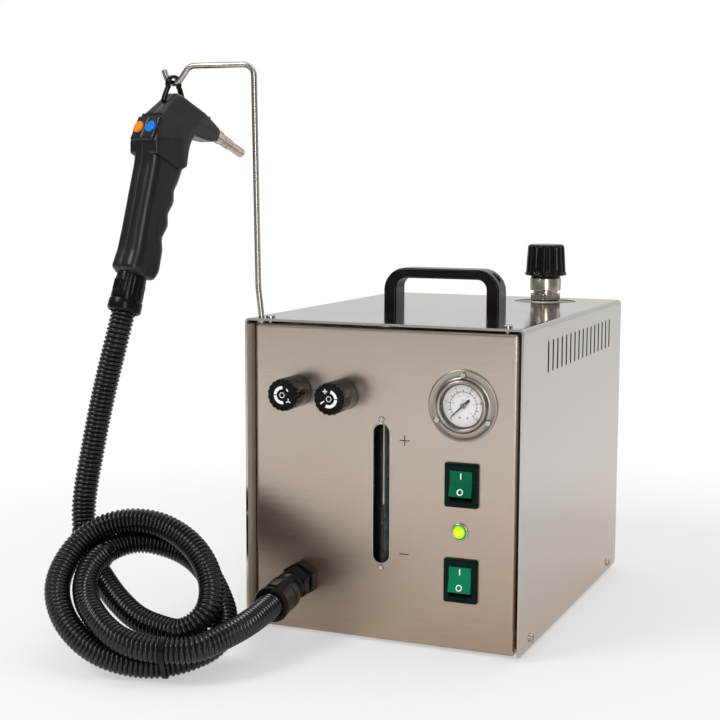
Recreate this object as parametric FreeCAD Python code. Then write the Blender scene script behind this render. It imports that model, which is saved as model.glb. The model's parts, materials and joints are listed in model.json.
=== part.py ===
import FreeCAD, Part
import math
import os

Vector = FreeCAD.Vector

# Steam cleaner: a sheet steel case on the table, a boiler inside it, and a steam gun that hangs on a
# rod hook and is fed by a corrugated hose. Millimetres. The origin is the middle of the base, on the
# table. +Z is up, -Y is the front, +X is the side with the gauge and the switches.

ORIGIN = Vector(0, 0, 0)
RIGHT = Vector(1, 0, 0)
LEFT = Vector(-1, 0, 0)
BACK = Vector(0, 1, 0)
FRONT = Vector(0, -1, 0)
UP = Vector(0, 0, 1)
DOWN = Vector(0, 0, -1)

# ---------------------------------------------------------------- clearances
shaft_gap = 0.05          # radial, a shaft that turns in its hole
body_gap = 0.3            # between faces of pieces that move past each other
hole_gap = 0.1            # radial, a screw or a pipe in its hole
cut_over = 1.0            # how far a cutter runs past the face that it cuts

# ---------------------------------------------------------------- case
case_width = 250.0
case_depth = 337.0
case_height = 270.0
case_sheet = 2.0
case_bend = 4.0
case_corner = 5.0         # rounding of the cover's lower rear corners
pad_thickness = 4.0
pad_inset = 28.0
cover_rise = 0.5          # cover's lower edge above the tray's underside
panel_sheet = 1.5
panel_recess = 6.4        # front sheet behind the cover's edge
panel_side_gap = 4.5
panel_top_gap = 2.5
panel_bend = 3.0
panel_return = 14.0
tray_sheet = 1.5
tray_flange = 18.0
tray_gap = 0.5

# Heights on the front panel that follow the case's height, as shares of the panel's height.
knob_shares = {"left": 0.7862, "right": 0.7832}
gauge_share = 0.772
upper_switch_share = 0.5249
lamp_share = 0.3772
lower_switch_share = 0.2232
slot_low_share = 0.2516
slot_high_share = 0.6972

tray_z = pad_thickness
cover_z = tray_z + cover_rise
top_z = cover_z + case_height
under_top = top_z - case_sheet
inner_x = case_width / 2 - case_sheet
edge_y = case_depth / 2
panel_y = edge_y - panel_recess
panel_x = inner_x - panel_side_gap
panel_z = tray_z - panel_sheet
panel_top = under_top - panel_top_gap
panel_height = panel_top - panel_z
floor_z = tray_z + tray_sheet


def on_panel(share):
    """A height on the front panel from a share of the panel's height."""
    return panel_z + share * panel_height


# ---------------------------------------------------------------- vents and screws
vent_count = 16
vent_pitch = 14.4
vent_first_y = -96.5
vent_width = 4.0
vent_height = 27.5
vent_drop = 15.5          # top of a vent below the case's top
screw_shank = 3.8
screw_reach = 8.0
side_screw_head = 7.0
side_screw_rise = 2.0
side_screw_inset = 33.5
side_screw_y = edge_y - side_screw_inset
side_screw_z = 12.2
top_screw_head = 8.0
top_screw_inset = 18.0
top_screw_x = case_width / 2 - top_screw_inset
top_screw_back = 13.5     # screw behind the cover's front edge
small_screw_head = 5.0
small_screw_shank = 2.4
small_screw_reach = 3.0
small_screw_rise = 1.3

# ---------------------------------------------------------------- handle
handle_x = 4.7
handle_y = -21.5
handle_length = 111.2
handle_depth = 24.0
handle_height = 38.5
handle_bar = 9.3
handle_leg = 12.0
handle_outer_bend = 21.0
handle_inner_bend = 9.0
handle_edge = 2.0
handle_screw_head = 7.6
handle_screw_head_height = 5.0
handle_screw_shank = 4.8
handle_recess_z = 22.0    # floor of the screw's recess above the case
handle_recess = 8.0
handle_nut = 8.0
handle_nut_height = 4.0

# ---------------------------------------------------------------- filler and its cap
filler_right = 20.0       # filler's axis from the boiler's
filler_behind = 42.0
filler_hole = 60.0
filler_plate = 72.0
filler_plate_sheet = 1.5
neck_outer = 24.0
neck_bore = 16.0
neck_hex = 28.5
neck_hex_height = 5.3
neck_hex_turn = 15.0
washer_outer = 26.0
washer_height = 2.5
o_ring_outer = 27.0
o_ring_height = 1.6
neck_bare = 3.7           # bare neck between its hex and the cap's collar
collar_outer = 30.0
collar_height = 11.9
collar_bore_depth = 10.0
collar_boss = 20.0
collar_boss_height = 1.9
seal_outer = 22.0
seal_height = 2.3
neck_in_collar = 7.4
cap_lower = 40.0
cap_upper = 36.0
cap_height = 30.3
cap_flutes = 18
cap_flute = 3.0
cap_dome = 3.0

# ---------------------------------------------------------------- boiler
boiler_side_gap = 5.0     # jacket to the cover's right side
boiler_rear_gap = 4.6     # jacket to the rear panel's sheet
boiler_outer = 140.0
boiler_wall = 2.0
boiler_z = 40.0
boiler_headroom = 47.5    # boiler's top below the cover's sheet
boiler_edge = 6.0
boiler_legs = 3
boiler_leg_ring = 104.0
boiler_leg = 14.0
jacket_thickness = 8.0
jacket_z = 62.0
jacket_drop = 35.0        # jacket's end below the boiler's top
heater_flange = 50.0
heater_flange_height = 6.0
heater_tube = 8.0
heater_spread = 24.0
heater_rise = 70.0
heater_pin = 4.0
heater_pin_length = 10.0
relief_left = 30.0        # valve and switch on the boiler's top, from its axis
relief_front = 16.0
relief_hex = 16.0
relief_hex_height = 10.0
relief_barrel = 13.0
relief_barrel_height = 24.0
switch_right = 22.0
switch_front = 22.0
switch_outer = 24.0
switch_height = 22.0
switch_stub = 8.0
switch_stub_height = 8.0

# ---------------------------------------------------------------- sight glass
slot_x = 0.0
slot_width = 15.0
slot_low = on_panel(slot_low_share)
slot_high = on_panel(slot_high_share)
sight_channel = 24.0
sight_channel_depth = 16.0
sight_channel_sheet = 1.5
sight_overlap = 7.8       # channel past the slot's ends
sight_tube = 10.0
sight_bore = 7.0
sight_tube_back = 8.0     # tube's axis behind the panel's sheet
sight_block = 16.0
sight_block_height = 14.0
sight_screw_out = 4.1     # screw beyond the slot's end
pipe_outer = 8.0

# ---------------------------------------------------------------- valves, knobs and solenoids
knob_inset = 40.1         # left knob from the panel's left edge
knob_spacing = 43.0
knob_places = {"left": (knob_inset - panel_x, on_panel(knob_shares["left"])),
               "right": (knob_inset + knob_spacing - panel_x, on_panel(knob_shares["right"]))}
knob_outer = 26.0
knob_skirt = 24.0
knob_skirt_length = 11.0
knob_stand_off = 0.8
knob_reach = 30.0
knob_flutes = 14
knob_flute = 3.2
knob_edge = 1.2
knob_hollow = 18.0
knob_hollow_depth = 3.4
spindle = 6.0
spindle_back = 15.0
bonnet = 9.0
bonnet_reach = 3.0
bonnet_nut = 14.0
bonnet_nut_height = 2.6
valve_body = 20.0
valve_length = 40.0
valve_port = 10.0
valve_port_length = 8.0
valve_outlet_back = 20.0
solenoid_block = 26.0
solenoid_block_height = 28.0
solenoid_coil = 30.0
solenoid_coil_length = 34.0
solenoid_drop = 42.0      # solenoid valves' tops below the knobs' axes
pipe_bend = 12.0
pipe_tight_bend = 6.0
steam_line_drop = 22.5    # pipes' centre lines below the cover's sheet
water_line_drop = 10.5

# ---------------------------------------------------------------- gauge
gauge_inset = 46.5        # gauge and switches from the panel's right edge
gauge_x = panel_x - gauge_inset
gauge_z = on_panel(gauge_share)
gauge_flange = 60.0
gauge_flange_sheet = 1.6
gauge_bezel = 44.0
gauge_bezel_reach = 6.5
gauge_bore = 37.0
gauge_barrel = 40.0
gauge_barrel_depth = 28.0
gauge_cavity_depth = 4.5
gauge_dial_sheet = 1.0
gauge_glass_sheet = 1.6
gauge_glass_sunk = 1.3
gauge_screw_circle = 51.0
gauge_screw_angles = (90.0, 210.0, 330.0)
needle_hub = 5.0
needle_hub_height = 1.6
needle_sheet = 0.8
needle_length = 14.0
needle_tail = 5.0
needle_width = 1.8
needle_rise = 1.2         # needle above the dial
needle_pin = 1.2
needle_rest = 225.0       # clockwise from straight up, seen from the front

# ---------------------------------------------------------------- switches and lamp
switch_places = {"upper": (gauge_x, on_panel(upper_switch_share)),
                 "lower": (gauge_x, on_panel(lower_switch_share))}
frame_width = 29.5
frame_height = 37.3
frame_reach = 3.0
frame_edge = 1.5
frame_body_width = 26.5
frame_body_height = 33.0
frame_body_depth = 20.0
rocker_width = 19.4
rocker_half_height = 11.0
rocker_nose = 9.5         # tip of a rocker's face in front of its pivot
rocker_tilt = 8.5         # half of the rocker's swing
rocker_back = 4.0
rocker_back_half = 7.0
rocker_pin = 3.0
rocker_pin_reach = 1.2
rocker_opening = 25.2
pivot_depth = 5.5         # rocker's pivot behind the panel's face
lamp_x = gauge_x - 1.4
lamp_z = on_panel(lamp_share)
lamp_bezel = 14.5
lamp_bezel_reach = 1.6
lamp_barrel = 12.0
lamp_barrel_depth = 20.0
lamp_lens = 11.0
lamp_lens_reach = 3.6

# ---------------------------------------------------------------- rear fittings
inlet_x = -panel_x + 38.5
inlet_z = 60.0
inlet_flange_width = 48.0
inlet_flange_height = 24.0
inlet_flange_reach = 3.0
inlet_body_width = 29.0
inlet_body_height = 21.0
inlet_depth = 26.0
inlet_mouth_width = 24.6
inlet_mouth_height = 16.6
inlet_mouth_depth = 15.0
inlet_pin_spread = 7.0
inlet_pin_width = 2.0
inlet_pin_height = 4.0
inlet_pin_length = 11.0
inlet_pin_rise = 5.0
terminal_x = -inner_x + 53.0
terminal_y = panel_y - 72.1
terminal_length = 56.0
terminal_width = 20.0
terminal_height = 16.0
drain_z = 52.0
drain_pipe = 12.0
drain_body = 20.0
drain_body_length = 26.0
drain_outlet_length = 10.0
drain_stem = 5.0
drain_stem_length = 9.0
drain_lever_length = 44.0
drain_lever_width = 9.0
drain_lever_sheet = 3.0
drain_hub = 12.0

# ---------------------------------------------------------------- hook rod
rod = 5.0
rod_back = 13.0           # rod behind the cover's front edge
rod_inset = 9.5           # rod's foot from the case's left side
rod_sunk = 14.0           # rod's end below the case's top
rod_bend = 10.0
rod_dip_bend = 8.0
# Corners of the rod: left of its foot, above the case's top.
rod_route = ((3.1, 25.5), (6.4, 215.7), (68.9, 216.1), (86.9, 193.3), (94.2, 213.0))
rod_dip = (85.1, 201.5)   # lowest point of the rod's centre line, where the gun hangs
rod_nut = 9.0
rod_nut_height = 8.0
rod_relief = 5.0          # cut in the panel's return beside the rod's nut
rod_relief_height = 16.0
rod_y = rod_back - edge_y
rod_foot_x = rod_inset - case_width / 2

# ---------------------------------------------------------------- gland
gland_inset = 45.5        # gland from the panel's left edge
gland_x = gland_inset - panel_x
gland_z = 49.0
gland_tilt = 8.6
gland_nut = 28.0
gland_nut_height = 11.0
gland_spigot = 18.0
gland_spigot_back = 12.0
gland_bore = 10.0
gland_body = 25.0
gland_hex = 25.0
gland_hex_length = 12.5
gland_body_length = 25.0
gland_behind = 9.0        # sloping hexagon's start behind the nut's face, before it is trimmed
gland_collar = 30.0
gland_reach = 53.0        # from the nut's face to the collar's mouth
gland_collar_lap = 5.0
gland_latch_width = 10.0
gland_latch_height = 2.0
gland_latch_length = 12.0
collar_edge = 1.5
hose_seat = 6.0           # hose's end inside the collar

# ---------------------------------------------------------------- hose
hose = 21.2
# Centre lines, measured from the floor below the case's front left corner: right, front, up.
gland_route = ((52.0, 68.0, 39.5), (52.0, 85.5, 37.6), (50.8, 102.5, 36.2), (47.0, 119.0, 34.0),
               (39.0, 133.5, 31.0), (30.1, 149.7, 26.9))
# The hanging hose's heights are shares of the height of its upper end.
gun_route = ((-95.8, 52.5, 0.922), (-103.0, 53.5, 0.831), (-109.5, 55.0, 0.738), (-114.8, 57.5, 0.641),
             (-119.0, 60.5, 0.548), (-123.0, 63.0, 0.462), (-124.8, 65.0, 0.387), (-122.0, 68.5, 0.322),
             (-114.0, 75.0, 0.272), (-101.0, 84.5, 0.231), (-84.0, 95.0, 0.195), (-67.6, 105.0, 0.165))
coil_place = (-35.0, 114.0, 54.9)
coil_yaw = 25.0
coil_lean = 35.0
coil_outer = 170.0
coil_outer_shift = (-2.0, 5.0)
coil_hole = 60.0
coil_hole_shift = (14.0, 15.0)
coil_below = 32.0
coil_above = 22.0
coil_edge = 14.0

# ---------------------------------------------------------------- steam gun
# The gun's own frame has its origin at the hook's dip, X towards the nozzle and Z up.
gun_yaw = 73.0
gun_half = 17.5
gun_wall = 2.5
gun_nose_half = 9.0
gun_nose_from = -4.0
# The housing's side view, (forward, up), clockwise from the ridge under the eye.
gun_head = ((-2.5, -8.6), (3.1, -9.4), (33.7, -27.3), (44.0, -33.5), (50.5, -37.6), (52.0, -41.5),
            (47.5, -49.4),
            (38.0, -49.9), (29.2, -48.4), (12.5, -45.4), (7.5, -51.0), (4.5, -58.0), (2.5, -66.0),
            (1.0, -74.0),
            (-4.6, -86.1))
gun_fingers = (((-9.9, -94.5), (-10.0, -103.8)), ((-17.4, -114.5), (-17.3, -124.3)),
               ((-25.0, -135.0), (-24.7, -144.9)))
gun_heel = ((-30.0, -164.5), (-36.0, -170.8), (-59.0, -164.5), (-64.5, -157.5), (-58.1, -142.5),
            (-38.4, -69.0),
            (-36.8, -50.5), (-24.5, -26.4))
gun_flanks = ((6.5, -6.0), (11.5, -26.5), (17.5, -48.0))    # housing's half width at heights
gun_split = ((-36.0, -61.0), (-8.0, -76.0))    # head's lower edge on the grip
grip_lean = 15.0
grip_depth = 43.0
grip_width = 30.0
grip_round = 10.0
grip_top = (-13.6, -69.0)
grip_length = 120.0
block_place = (-33.6, -38.9)    # middle of the switch block's face
block_lean = 28.0
block_half = 13.5
block_half_height = 11.5
block_depth = 6.0
block_edge = 1.5
button_places = {"blue": -7.6, "orange": 7.6}
button = 10.4
button_reach = 2.2
button_length = 6.8
button_travel = 1.5
button_edge = 1.0
bar_width = 2.0
bar_height = 15.0
bar_reach = 1.0
bar_side = -12.5          # raised bar beside the blue button
strap_width = 5.5
strap_sheet = 3.0
strap_inner = 5.0
strap_eye_z = 4.3         # top of the eye's opening above the hook's dip
strap_foot_z = -17.0
nozzle_start = (47.0, -41.7)
nozzle_tip = (84.6, -59.5)
nozzle_steps = ((12.0, 10.5), (10.0, 13.0), (8.4, 18.2))
nozzle_bore = 3.0
set_screw = 4.5
set_screw_reach = 3.0
set_screw_places = ((38.5, -28.2, 0.0), (38.0, -46.0, -5.0))
adapter_top = (-50.2, -164.0)
adapter_mouth = (-61.2, -196.8)
adapter_neck = 18.0
adapter_neck_length = 9.0
adapter_hex = 26.0
adapter_hex_length = 9.0
adapter_collar = 29.0


# ================================================================ building blocks
def box(x, y, z):
    """A box from three (low, high) ranges."""
    corner = Vector(x[0], y[0], z[0])
    return Part.makeBox(x[1] - x[0], y[1] - y[0], z[1] - z[0], corner)


def rod_shape(diameter, length, start, direction):
    """A round bar that starts at a point and runs along a direction."""
    return Part.makeCylinder(diameter / 2, length, start, direction)


def ring(outer, inner, length, start, direction):
    """A round tube with a straight bore."""
    return rod_shape(outer, length, start, direction).cut(rod_shape(inner, length, start, direction))


def hexagon(across_flats, length, start, direction, turn=0.0):
    """A hexagonal bar, turned about its own axis by an angle."""
    radius = across_flats / 2 / math.cos(math.pi / 6)
    angles = [math.radians(turn + 60 * step) for step in range(7)]
    points = [Vector(radius * math.cos(angle), radius * math.sin(angle), 0) for angle in angles]
    bar = Part.Face(Part.makePolygon(points)).extrude(Vector(0, 0, length))
    bar.Placement = FreeCAD.Placement(start, FreeCAD.Rotation(UP, direction))
    return bar


def fused(shapes):
    """One solid from shapes that touch or overlap."""
    whole = shapes[0]
    for shape in shapes[1:]:
        whole = whole.fuse(shape)
    return whole.removeSplitter()


def cut_by(shape, cutters):
    """A shape less each of the cutters."""
    for cutter in cutters:
        shape = shape.cut(cutter)
    return shape


def largest(shape):
    """The largest of a shape's solids."""
    return max(shape.Solids, key=lambda solid: solid.Volume)


def edges_where(shape, test):
    """Edges for which the test on their bounding box is true."""
    return [edge for edge in shape.Edges if test(edge.BoundBox)]


def flat_in(low, high):
    """True where an edge's range along one axis has no length."""
    return high - low < 0.001


def rims(shape):
    """The closed edges of a shape, such as a bar's two rims."""
    return [edge for edge in shape.Edges if edge.Closed]


def rounded(shape, radius, test):
    """A shape with the chosen edges rounded."""
    return shape.makeFillet(radius, edges_where(shape, test))


def screw(place, outward, head, rise, shank, reach):
    """A low round head on a face, with its shank through the face."""
    cap = rod_shape(head, rise, place, outward)
    far_rim = [edge for edge in rims(cap) if (edge.CenterOfMass - place).dot(outward) > rise / 2]
    return fused([cap.makeFillet(rise / 2, far_rim), rod_shape(shank, reach, place, outward * -1)])


def case_screw(place, outward, head):
    """One of the case's fixing screws."""
    return screw(place, outward, head, side_screw_rise, screw_shank, screw_reach)


def small_screw(place):
    """One of the small screws on the front panel or the gauge."""
    return screw(place, FRONT, small_screw_head, small_screw_rise, small_screw_shank, small_screw_reach)


def bent_path(points, radius_at):
    """Straight runs joined by tangent arcs. Returns the wire and the radii of its arcs."""
    points = [Vector(*point) for point in points]
    edges = []
    radii = []
    start = points[0]
    for before, corner, after in zip(points, points[1:], points[2:]):
        run_in = (corner - before).normalize()
        run_out = (after - corner).normalize()
        half_turn = run_in.getAngle(run_out) / 2
        shorter = min((corner - before).Length, (after - corner).Length)
        radius = radius_at(shorter, half_turn)
        reach = radius * math.tan(half_turn)
        inward = (run_out - run_in).normalize()
        enter = corner - run_in * reach
        leave = corner + run_out * reach
        middle = corner + inward * (radius / math.cos(half_turn) - radius)
        edges.append(Part.LineSegment(start, enter).toShape())
        edges.append(Part.Arc(enter, middle, leave).toShape())
        radii.append(radius)
        start = leave
    edges.append(Part.LineSegment(start, points[-1]).toShape())
    return Part.Wire(edges), radii


def swept(path, points, diameter):
    """A round bar along a path."""
    start = Vector(*points[0])
    heading = Vector(*points[1]) - start
    section = Part.Wire([Part.makeCircle(diameter / 2, start, heading)])
    return path.makePipeShell([section], True, False)


def pipe(points, diameter, bend):
    """A stiff pipe or rod with bends of one radius."""
    path, _ = bent_path(points, lambda shorter, half_turn: bend)
    return swept(path, points, diameter)


def cord(name, points, diameter):
    """A hose's tube, with arcs as large as its runs allow. Prints the radii and its volume's error."""
    path, radii = bent_path(points, lambda shorter, half_turn: 0.45 * shorter / math.tan(half_turn))
    tube = swept(path, points, diameter)
    expected = math.pi * diameter ** 2 / 4 * path.Length
    listed = ", ".join("%.0f" % radius for radius in radii)
    print("%s: length %.1f, radii %s, volume ratio %.4f" % (name, path.Length, listed,
                                                            tube.Volume / expected))
    return tube


def from_corner(place):
    """A point given to the right, to the front and up from below the case's front left corner."""
    return Vector(place[0] - case_width / 2, -edge_y - place[1], place[2])


def front_point(x, z, reach=0.0):
    """A point on the front panel's face, or so far in front of it."""
    return Vector(x, -panel_y - reach, z)


boiler_x = inner_x - boiler_side_gap - jacket_thickness - boiler_outer / 2
boiler_y = panel_y - panel_sheet - boiler_rear_gap - jacket_thickness - boiler_outer / 2
boiler_top = under_top - boiler_headroom
filler_x = boiler_x + filler_right
filler_y = boiler_y + filler_behind
filler_axis = Vector(filler_x, filler_y, 0)
boiler_axis = Vector(boiler_x, boiler_y, 0)


# ================================================================ case
def base_pad():
    """Rubber pad glued under the tray; the case stands on it."""
    half_x = case_width / 2 - pad_inset
    half_y = case_depth / 2 - pad_inset
    pad = box((-half_x, half_x), (-half_y, half_y), (0, pad_thickness))
    return rounded(pad, pad_inset / 2, lambda b: flat_in(b.XMin, b.XMax) and flat_in(b.YMin, b.YMax))


def base_tray():
    """Bottom sheet with a flange up each side and a tongue over each panel's lower return."""
    floor_y = panel_y - panel_return - tray_gap
    tongue_x = panel_x - panel_bend - tray_gap
    tongue_y = panel_y - panel_bend - tray_gap
    floor_range = (tray_z, floor_z)
    pieces = [box((-inner_x, inner_x), (-floor_y, floor_y), floor_range),
              box((-tongue_x, tongue_x), (-tongue_y, tongue_y), floor_range)]
    for side in (-1, 1):
        wall = sorted((side * inner_x, side * (inner_x - tray_sheet)))
        pieces.append(box(wall, (-floor_y, floor_y), (tray_z, tray_z + tray_flange)))
    holes = [rod_shape(screw_shank + 2 * hole_gap, tray_sheet + 2 * cut_over,
                       Vector(side * (inner_x + cut_over), y, side_screw_z), RIGHT * -side)
             for side in (-1, 1) for y in (-side_screw_y, side_screw_y)]
    return cut_by(fused(pieces), holes)


def pan():
    """A panel sheet with rounded bends and a return on all four sides, open to the back."""
    def block(inset, bend, back):
        shape = box((-panel_x + inset, panel_x - inset), (-panel_y + inset, -panel_y + back),
                    (panel_z + inset, panel_top - inset))
        face_y = -panel_y + inset
        return rounded(shape, bend, lambda b: abs(b.YMax - face_y) < 0.001
                       or (flat_in(b.XMin, b.XMax) and flat_in(b.ZMin, b.ZMax)))
    hollow = block(panel_sheet, panel_bend - panel_sheet, panel_return + cut_over)
    return block(0.0, panel_bend, panel_return).cut(hollow)


def sight_slot_cutter():
    """The upright slot with round ends in the front panel."""
    depth = panel_sheet + 2 * cut_over
    radius = slot_width / 2
    ends = [rod_shape(slot_width, depth, Vector(slot_x, -panel_y - cut_over, z), BACK)
            for z in (slot_low + radius, slot_high - radius)]
    middle = box((slot_x - radius, slot_x + radius), (-panel_y - cut_over, -panel_y - cut_over + depth),
                 (slot_low + radius, slot_high - radius))
    return fused([middle] + ends)


def sight_screw_points():
    """Places of the screws above and below the sight slot."""
    return [front_point(slot_x, slot_high + sight_screw_out),
            front_point(slot_x, slot_low - sight_screw_out)]


def gauge_screw_points(reach):
    """Places of the gauge's flange screws."""
    radius = gauge_screw_circle / 2
    angles = [math.radians(angle) for angle in gauge_screw_angles]
    return [front_point(gauge_x + radius * math.cos(angle), gauge_z + radius * math.sin(angle), reach)
            for angle in angles]


def panel_hole(place, diameter):
    """A cutter for a round hole through a panel's sheet."""
    return rod_shape(diameter, panel_sheet + 2 * cut_over, place + FRONT * cut_over, BACK)


def top_screw_point(side):
    """Place of a screw in the cover's top, above the front panel's upper return."""
    return Vector(side * top_screw_x, -edge_y + top_screw_back, top_z)


def rod_foot():
    """Where the hook rod passes the case's top."""
    return Vector(rod_foot_x, rod_y, top_z)


def front_panel():
    """Front sheet with the openings for all that is mounted on it."""
    cutters = [sight_slot_cutter(), panel_hole(front_point(gauge_x, gauge_z), gauge_barrel + 2 * hole_gap),
               panel_hole(front_point(lamp_x, lamp_z), lamp_barrel + 2 * hole_gap),
               panel_hole(front_point(gland_x, gland_z), gland_spigot + 2 * hole_gap)]
    for x, z in knob_places.values():
        cutters.append(panel_hole(front_point(x, z), bonnet + 2 * hole_gap))
    for x, z in switch_places.values():
        cutters.append(box((x - frame_body_width / 2 - hole_gap, x + frame_body_width / 2 + hole_gap),
                           (-panel_y - cut_over, -panel_y + panel_sheet + cut_over),
                           (z - frame_body_height / 2 - hole_gap, z + frame_body_height / 2 + hole_gap)))
    for place in sight_screw_points() + gauge_screw_points(0.0):
        cutters.append(panel_hole(place, small_screw_shank + 2 * hole_gap))
    for side in (-1, 1):
        cutters.append(rod_shape(screw_shank + 2 * hole_gap, rod_relief_height, top_screw_point(side), DOWN))
    cutters.append(box((-panel_x - cut_over, rod_foot_x + rod_relief),
                       (-panel_y + panel_sheet, -panel_y + panel_return + cut_over),
                       (panel_top - rod_relief_height, panel_top + cut_over)))
    return cut_by(pan(), cutters)


def rear_panel():
    """Rear sheet with the mains inlet's and the drain's openings."""
    turned = pan().mirror(ORIGIN, BACK)
    inlet_hole = box((inlet_x - inlet_body_width / 2 - hole_gap, inlet_x + inlet_body_width / 2 + hole_gap),
                     (panel_y - panel_sheet - cut_over, panel_y + cut_over),
                     (inlet_z - inlet_body_height / 2 - hole_gap,
                      inlet_z + inlet_body_height / 2 + hole_gap))
    drain_hole = rod_shape(drain_pipe + 2 * hole_gap, panel_sheet + 2 * cut_over,
                           Vector(boiler_x, panel_y + cut_over, drain_z), FRONT)
    return cut_by(turned, [inlet_hole, drain_hole])


def vent_cutters():
    """Upright vents near the top of both sides, cut straight across the case."""
    across = case_width + 2 * cut_over
    radius = vent_width / 2
    high = top_z - vent_drop - radius
    low = high - vent_height + vent_width
    cutters = []
    for step in range(vent_count):
        y = vent_first_y + step * vent_pitch
        cutters.append(box((-across / 2, across / 2), (y - radius, y + radius), (low, high)))
        for z in (low, high):
            cutters.append(rod_shape(vent_width, across, Vector(-across / 2, y, z), RIGHT))
    return cutters


def handle_screw_points():
    """Centre of each of the handle's legs, on the case's top."""
    leg_x = handle_length / 2 - handle_leg / 2
    return [Vector(handle_x + side * leg_x, handle_y, top_z) for side in (-1, 1)]


def cover():
    """Inverted U of sheet over the whole case, open at the front and the rear."""
    half_x = case_width / 2
    outer = box((-half_x, half_x), (-edge_y, edge_y), (cover_z, top_z))
    outer = rounded(outer, case_bend, lambda b: flat_in(b.ZMin, b.ZMax) and b.ZMax > top_z - 1
                    and flat_in(b.XMin, b.XMax))
    outer = rounded(outer, case_corner, lambda b: flat_in(b.ZMin, b.ZMax) and b.ZMax < cover_z + 1
                    and flat_in(b.YMin, b.YMax) and b.YMin > 0)
    hollow = box((-inner_x, inner_x), (-edge_y - cut_over, edge_y + cut_over),
                 (cover_z - case_bend, under_top))
    hollow = rounded(hollow, case_bend - case_sheet,
                     lambda b: flat_in(b.ZMin, b.ZMax) and b.ZMax > under_top - 1
                     and flat_in(b.XMin, b.XMax))
    through = case_sheet + 2 * cut_over
    cutters = vent_cutters()
    cutters.append(rod_shape(filler_hole, through, Vector(filler_x, filler_y, top_z + cut_over), DOWN))
    cutters.append(rod_shape(rod + 2 * hole_gap, through, rod_foot() + UP * cut_over, DOWN))
    for side in (-1, 1):
        cutters.append(rod_shape(screw_shank + 2 * hole_gap, through, top_screw_point(side) + UP * cut_over,
                                 DOWN))
        for y in (-side_screw_y, side_screw_y):
            place = Vector(side * (half_x + cut_over), y, side_screw_z)
            cutters.append(rod_shape(screw_shank + 2 * hole_gap, through, place, RIGHT * -side))
    for place in handle_screw_points():
        cutters.append(rod_shape(handle_screw_shank + 2 * hole_gap, through, place + UP * cut_over, DOWN))
    return cut_by(outer.cut(hollow), cutters)


def handle_screw(place):
    """A long screw through a leg of the handle, with its nut under the case's top."""
    head_at = place + UP * handle_recess_z
    shank_length = handle_recess_z + case_sheet + handle_nut_height
    head = rod_shape(handle_screw_head, handle_screw_head_height, head_at, UP)
    shank = rod_shape(handle_screw_shank, shank_length, head_at, DOWN)
    nut = hexagon(handle_nut, handle_nut_height, place + DOWN * case_sheet, DOWN)
    return fused([head, shank, nut])


def case_screws():
    """Side screws, top screws and the handle's screws."""
    half_x = case_width / 2
    screws = [case_screw(Vector(side * half_x, y, side_screw_z), RIGHT * side, side_screw_head)
              for side in (-1, 1) for y in (-side_screw_y, side_screw_y)]
    screws += [case_screw(top_screw_point(side), UP, top_screw_head) for side in (-1, 1)]
    screws += [handle_screw(place) for place in handle_screw_points()]
    return Part.makeCompound(screws)


def carry_handle():
    """Moulded bow handle with a screw recess in each shoulder."""
    low_x = handle_x - handle_length / 2
    high_x = handle_x + handle_length / 2
    y_range = (handle_y - handle_depth / 2, handle_y + handle_depth / 2)
    bow = box((low_x, high_x), y_range, (top_z, top_z + handle_height))
    bow = rounded(bow, handle_outer_bend, lambda b: flat_in(b.XMin, b.XMax) and flat_in(b.ZMin, b.ZMax)
                  and b.ZMax > top_z + 1)
    gap_top = top_z + handle_height - handle_bar
    gap = box((low_x + handle_leg, high_x - handle_leg), (y_range[0] - cut_over, y_range[1] + cut_over),
              (top_z - cut_over, gap_top))
    gap = rounded(gap, handle_inner_bend, lambda b: flat_in(b.XMin, b.XMax) and flat_in(b.ZMin, b.ZMax)
                  and b.ZMax > top_z + 1)
    bow = bow.cut(gap)
    bow = rounded(bow, handle_edge, lambda b: flat_in(b.YMin, b.YMax) and b.ZMax > top_z + 1)
    cutters = []
    for place in handle_screw_points():
        cutters.append(rod_shape(handle_recess, handle_height, place + UP * handle_recess_z, UP))
        cutters.append(rod_shape(handle_screw_shank + 2 * hole_gap, handle_height, place, UP))
    return cut_by(bow, cutters)


# ================================================================ filler and cap
washer_z = under_top
o_ring_z = washer_z + washer_height
hex_z = o_ring_z + o_ring_height
bare_z = hex_z + neck_hex_height
collar_z = bare_z + neck_bare
neck_top = collar_z + neck_in_collar
seal_z = neck_top + hole_gap
collar_top = collar_z + collar_height
boss_top = collar_top + collar_boss_height


def on_filler(z):
    """A point on the filler's axis."""
    return filler_axis + UP * z


def filler_ring():
    """Bright plate under the cover's round hole, with the neck through it."""
    start = on_filler(under_top - filler_plate_sheet)
    return ring(filler_plate, neck_outer + 2 * hole_gap, filler_plate_sheet, start, UP)


def filler_neck():
    """Tube from the boiler's top, with a hexagon above the washers."""
    neck = rod_shape(neck_outer, neck_top - boiler_top, on_filler(boiler_top), UP)
    nut = hexagon(neck_hex, neck_hex_height, on_filler(hex_z), UP, neck_hex_turn)
    bore = rod_shape(neck_bore, neck_top - boiler_top + 2 * cut_over, on_filler(boiler_top - cut_over), UP)
    return fused([neck, nut]).cut(bore)


def filler_washer():
    """Pale washer on the plate."""
    return ring(washer_outer, neck_outer, washer_height, on_filler(washer_z), UP)


def filler_o_ring():
    """Black ring under the neck's hexagon."""
    return ring(o_ring_outer, neck_outer, o_ring_height, on_filler(o_ring_z), UP)


def cap_seal():
    """Disc that the cap presses on the neck's top."""
    return rod_shape(seal_outer, seal_height, on_filler(seal_z), UP)


def cap_collar():
    """Threaded collar of the cap, over the neck and the seal."""
    outside = fused([rod_shape(collar_outer, collar_height, on_filler(collar_z), UP),
                     rod_shape(collar_boss, collar_boss_height, on_filler(collar_top), UP)])
    bore = rod_shape(neck_outer + 2 * shaft_gap, collar_bore_depth, on_filler(collar_z), UP)
    return outside.cut(bore)


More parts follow.
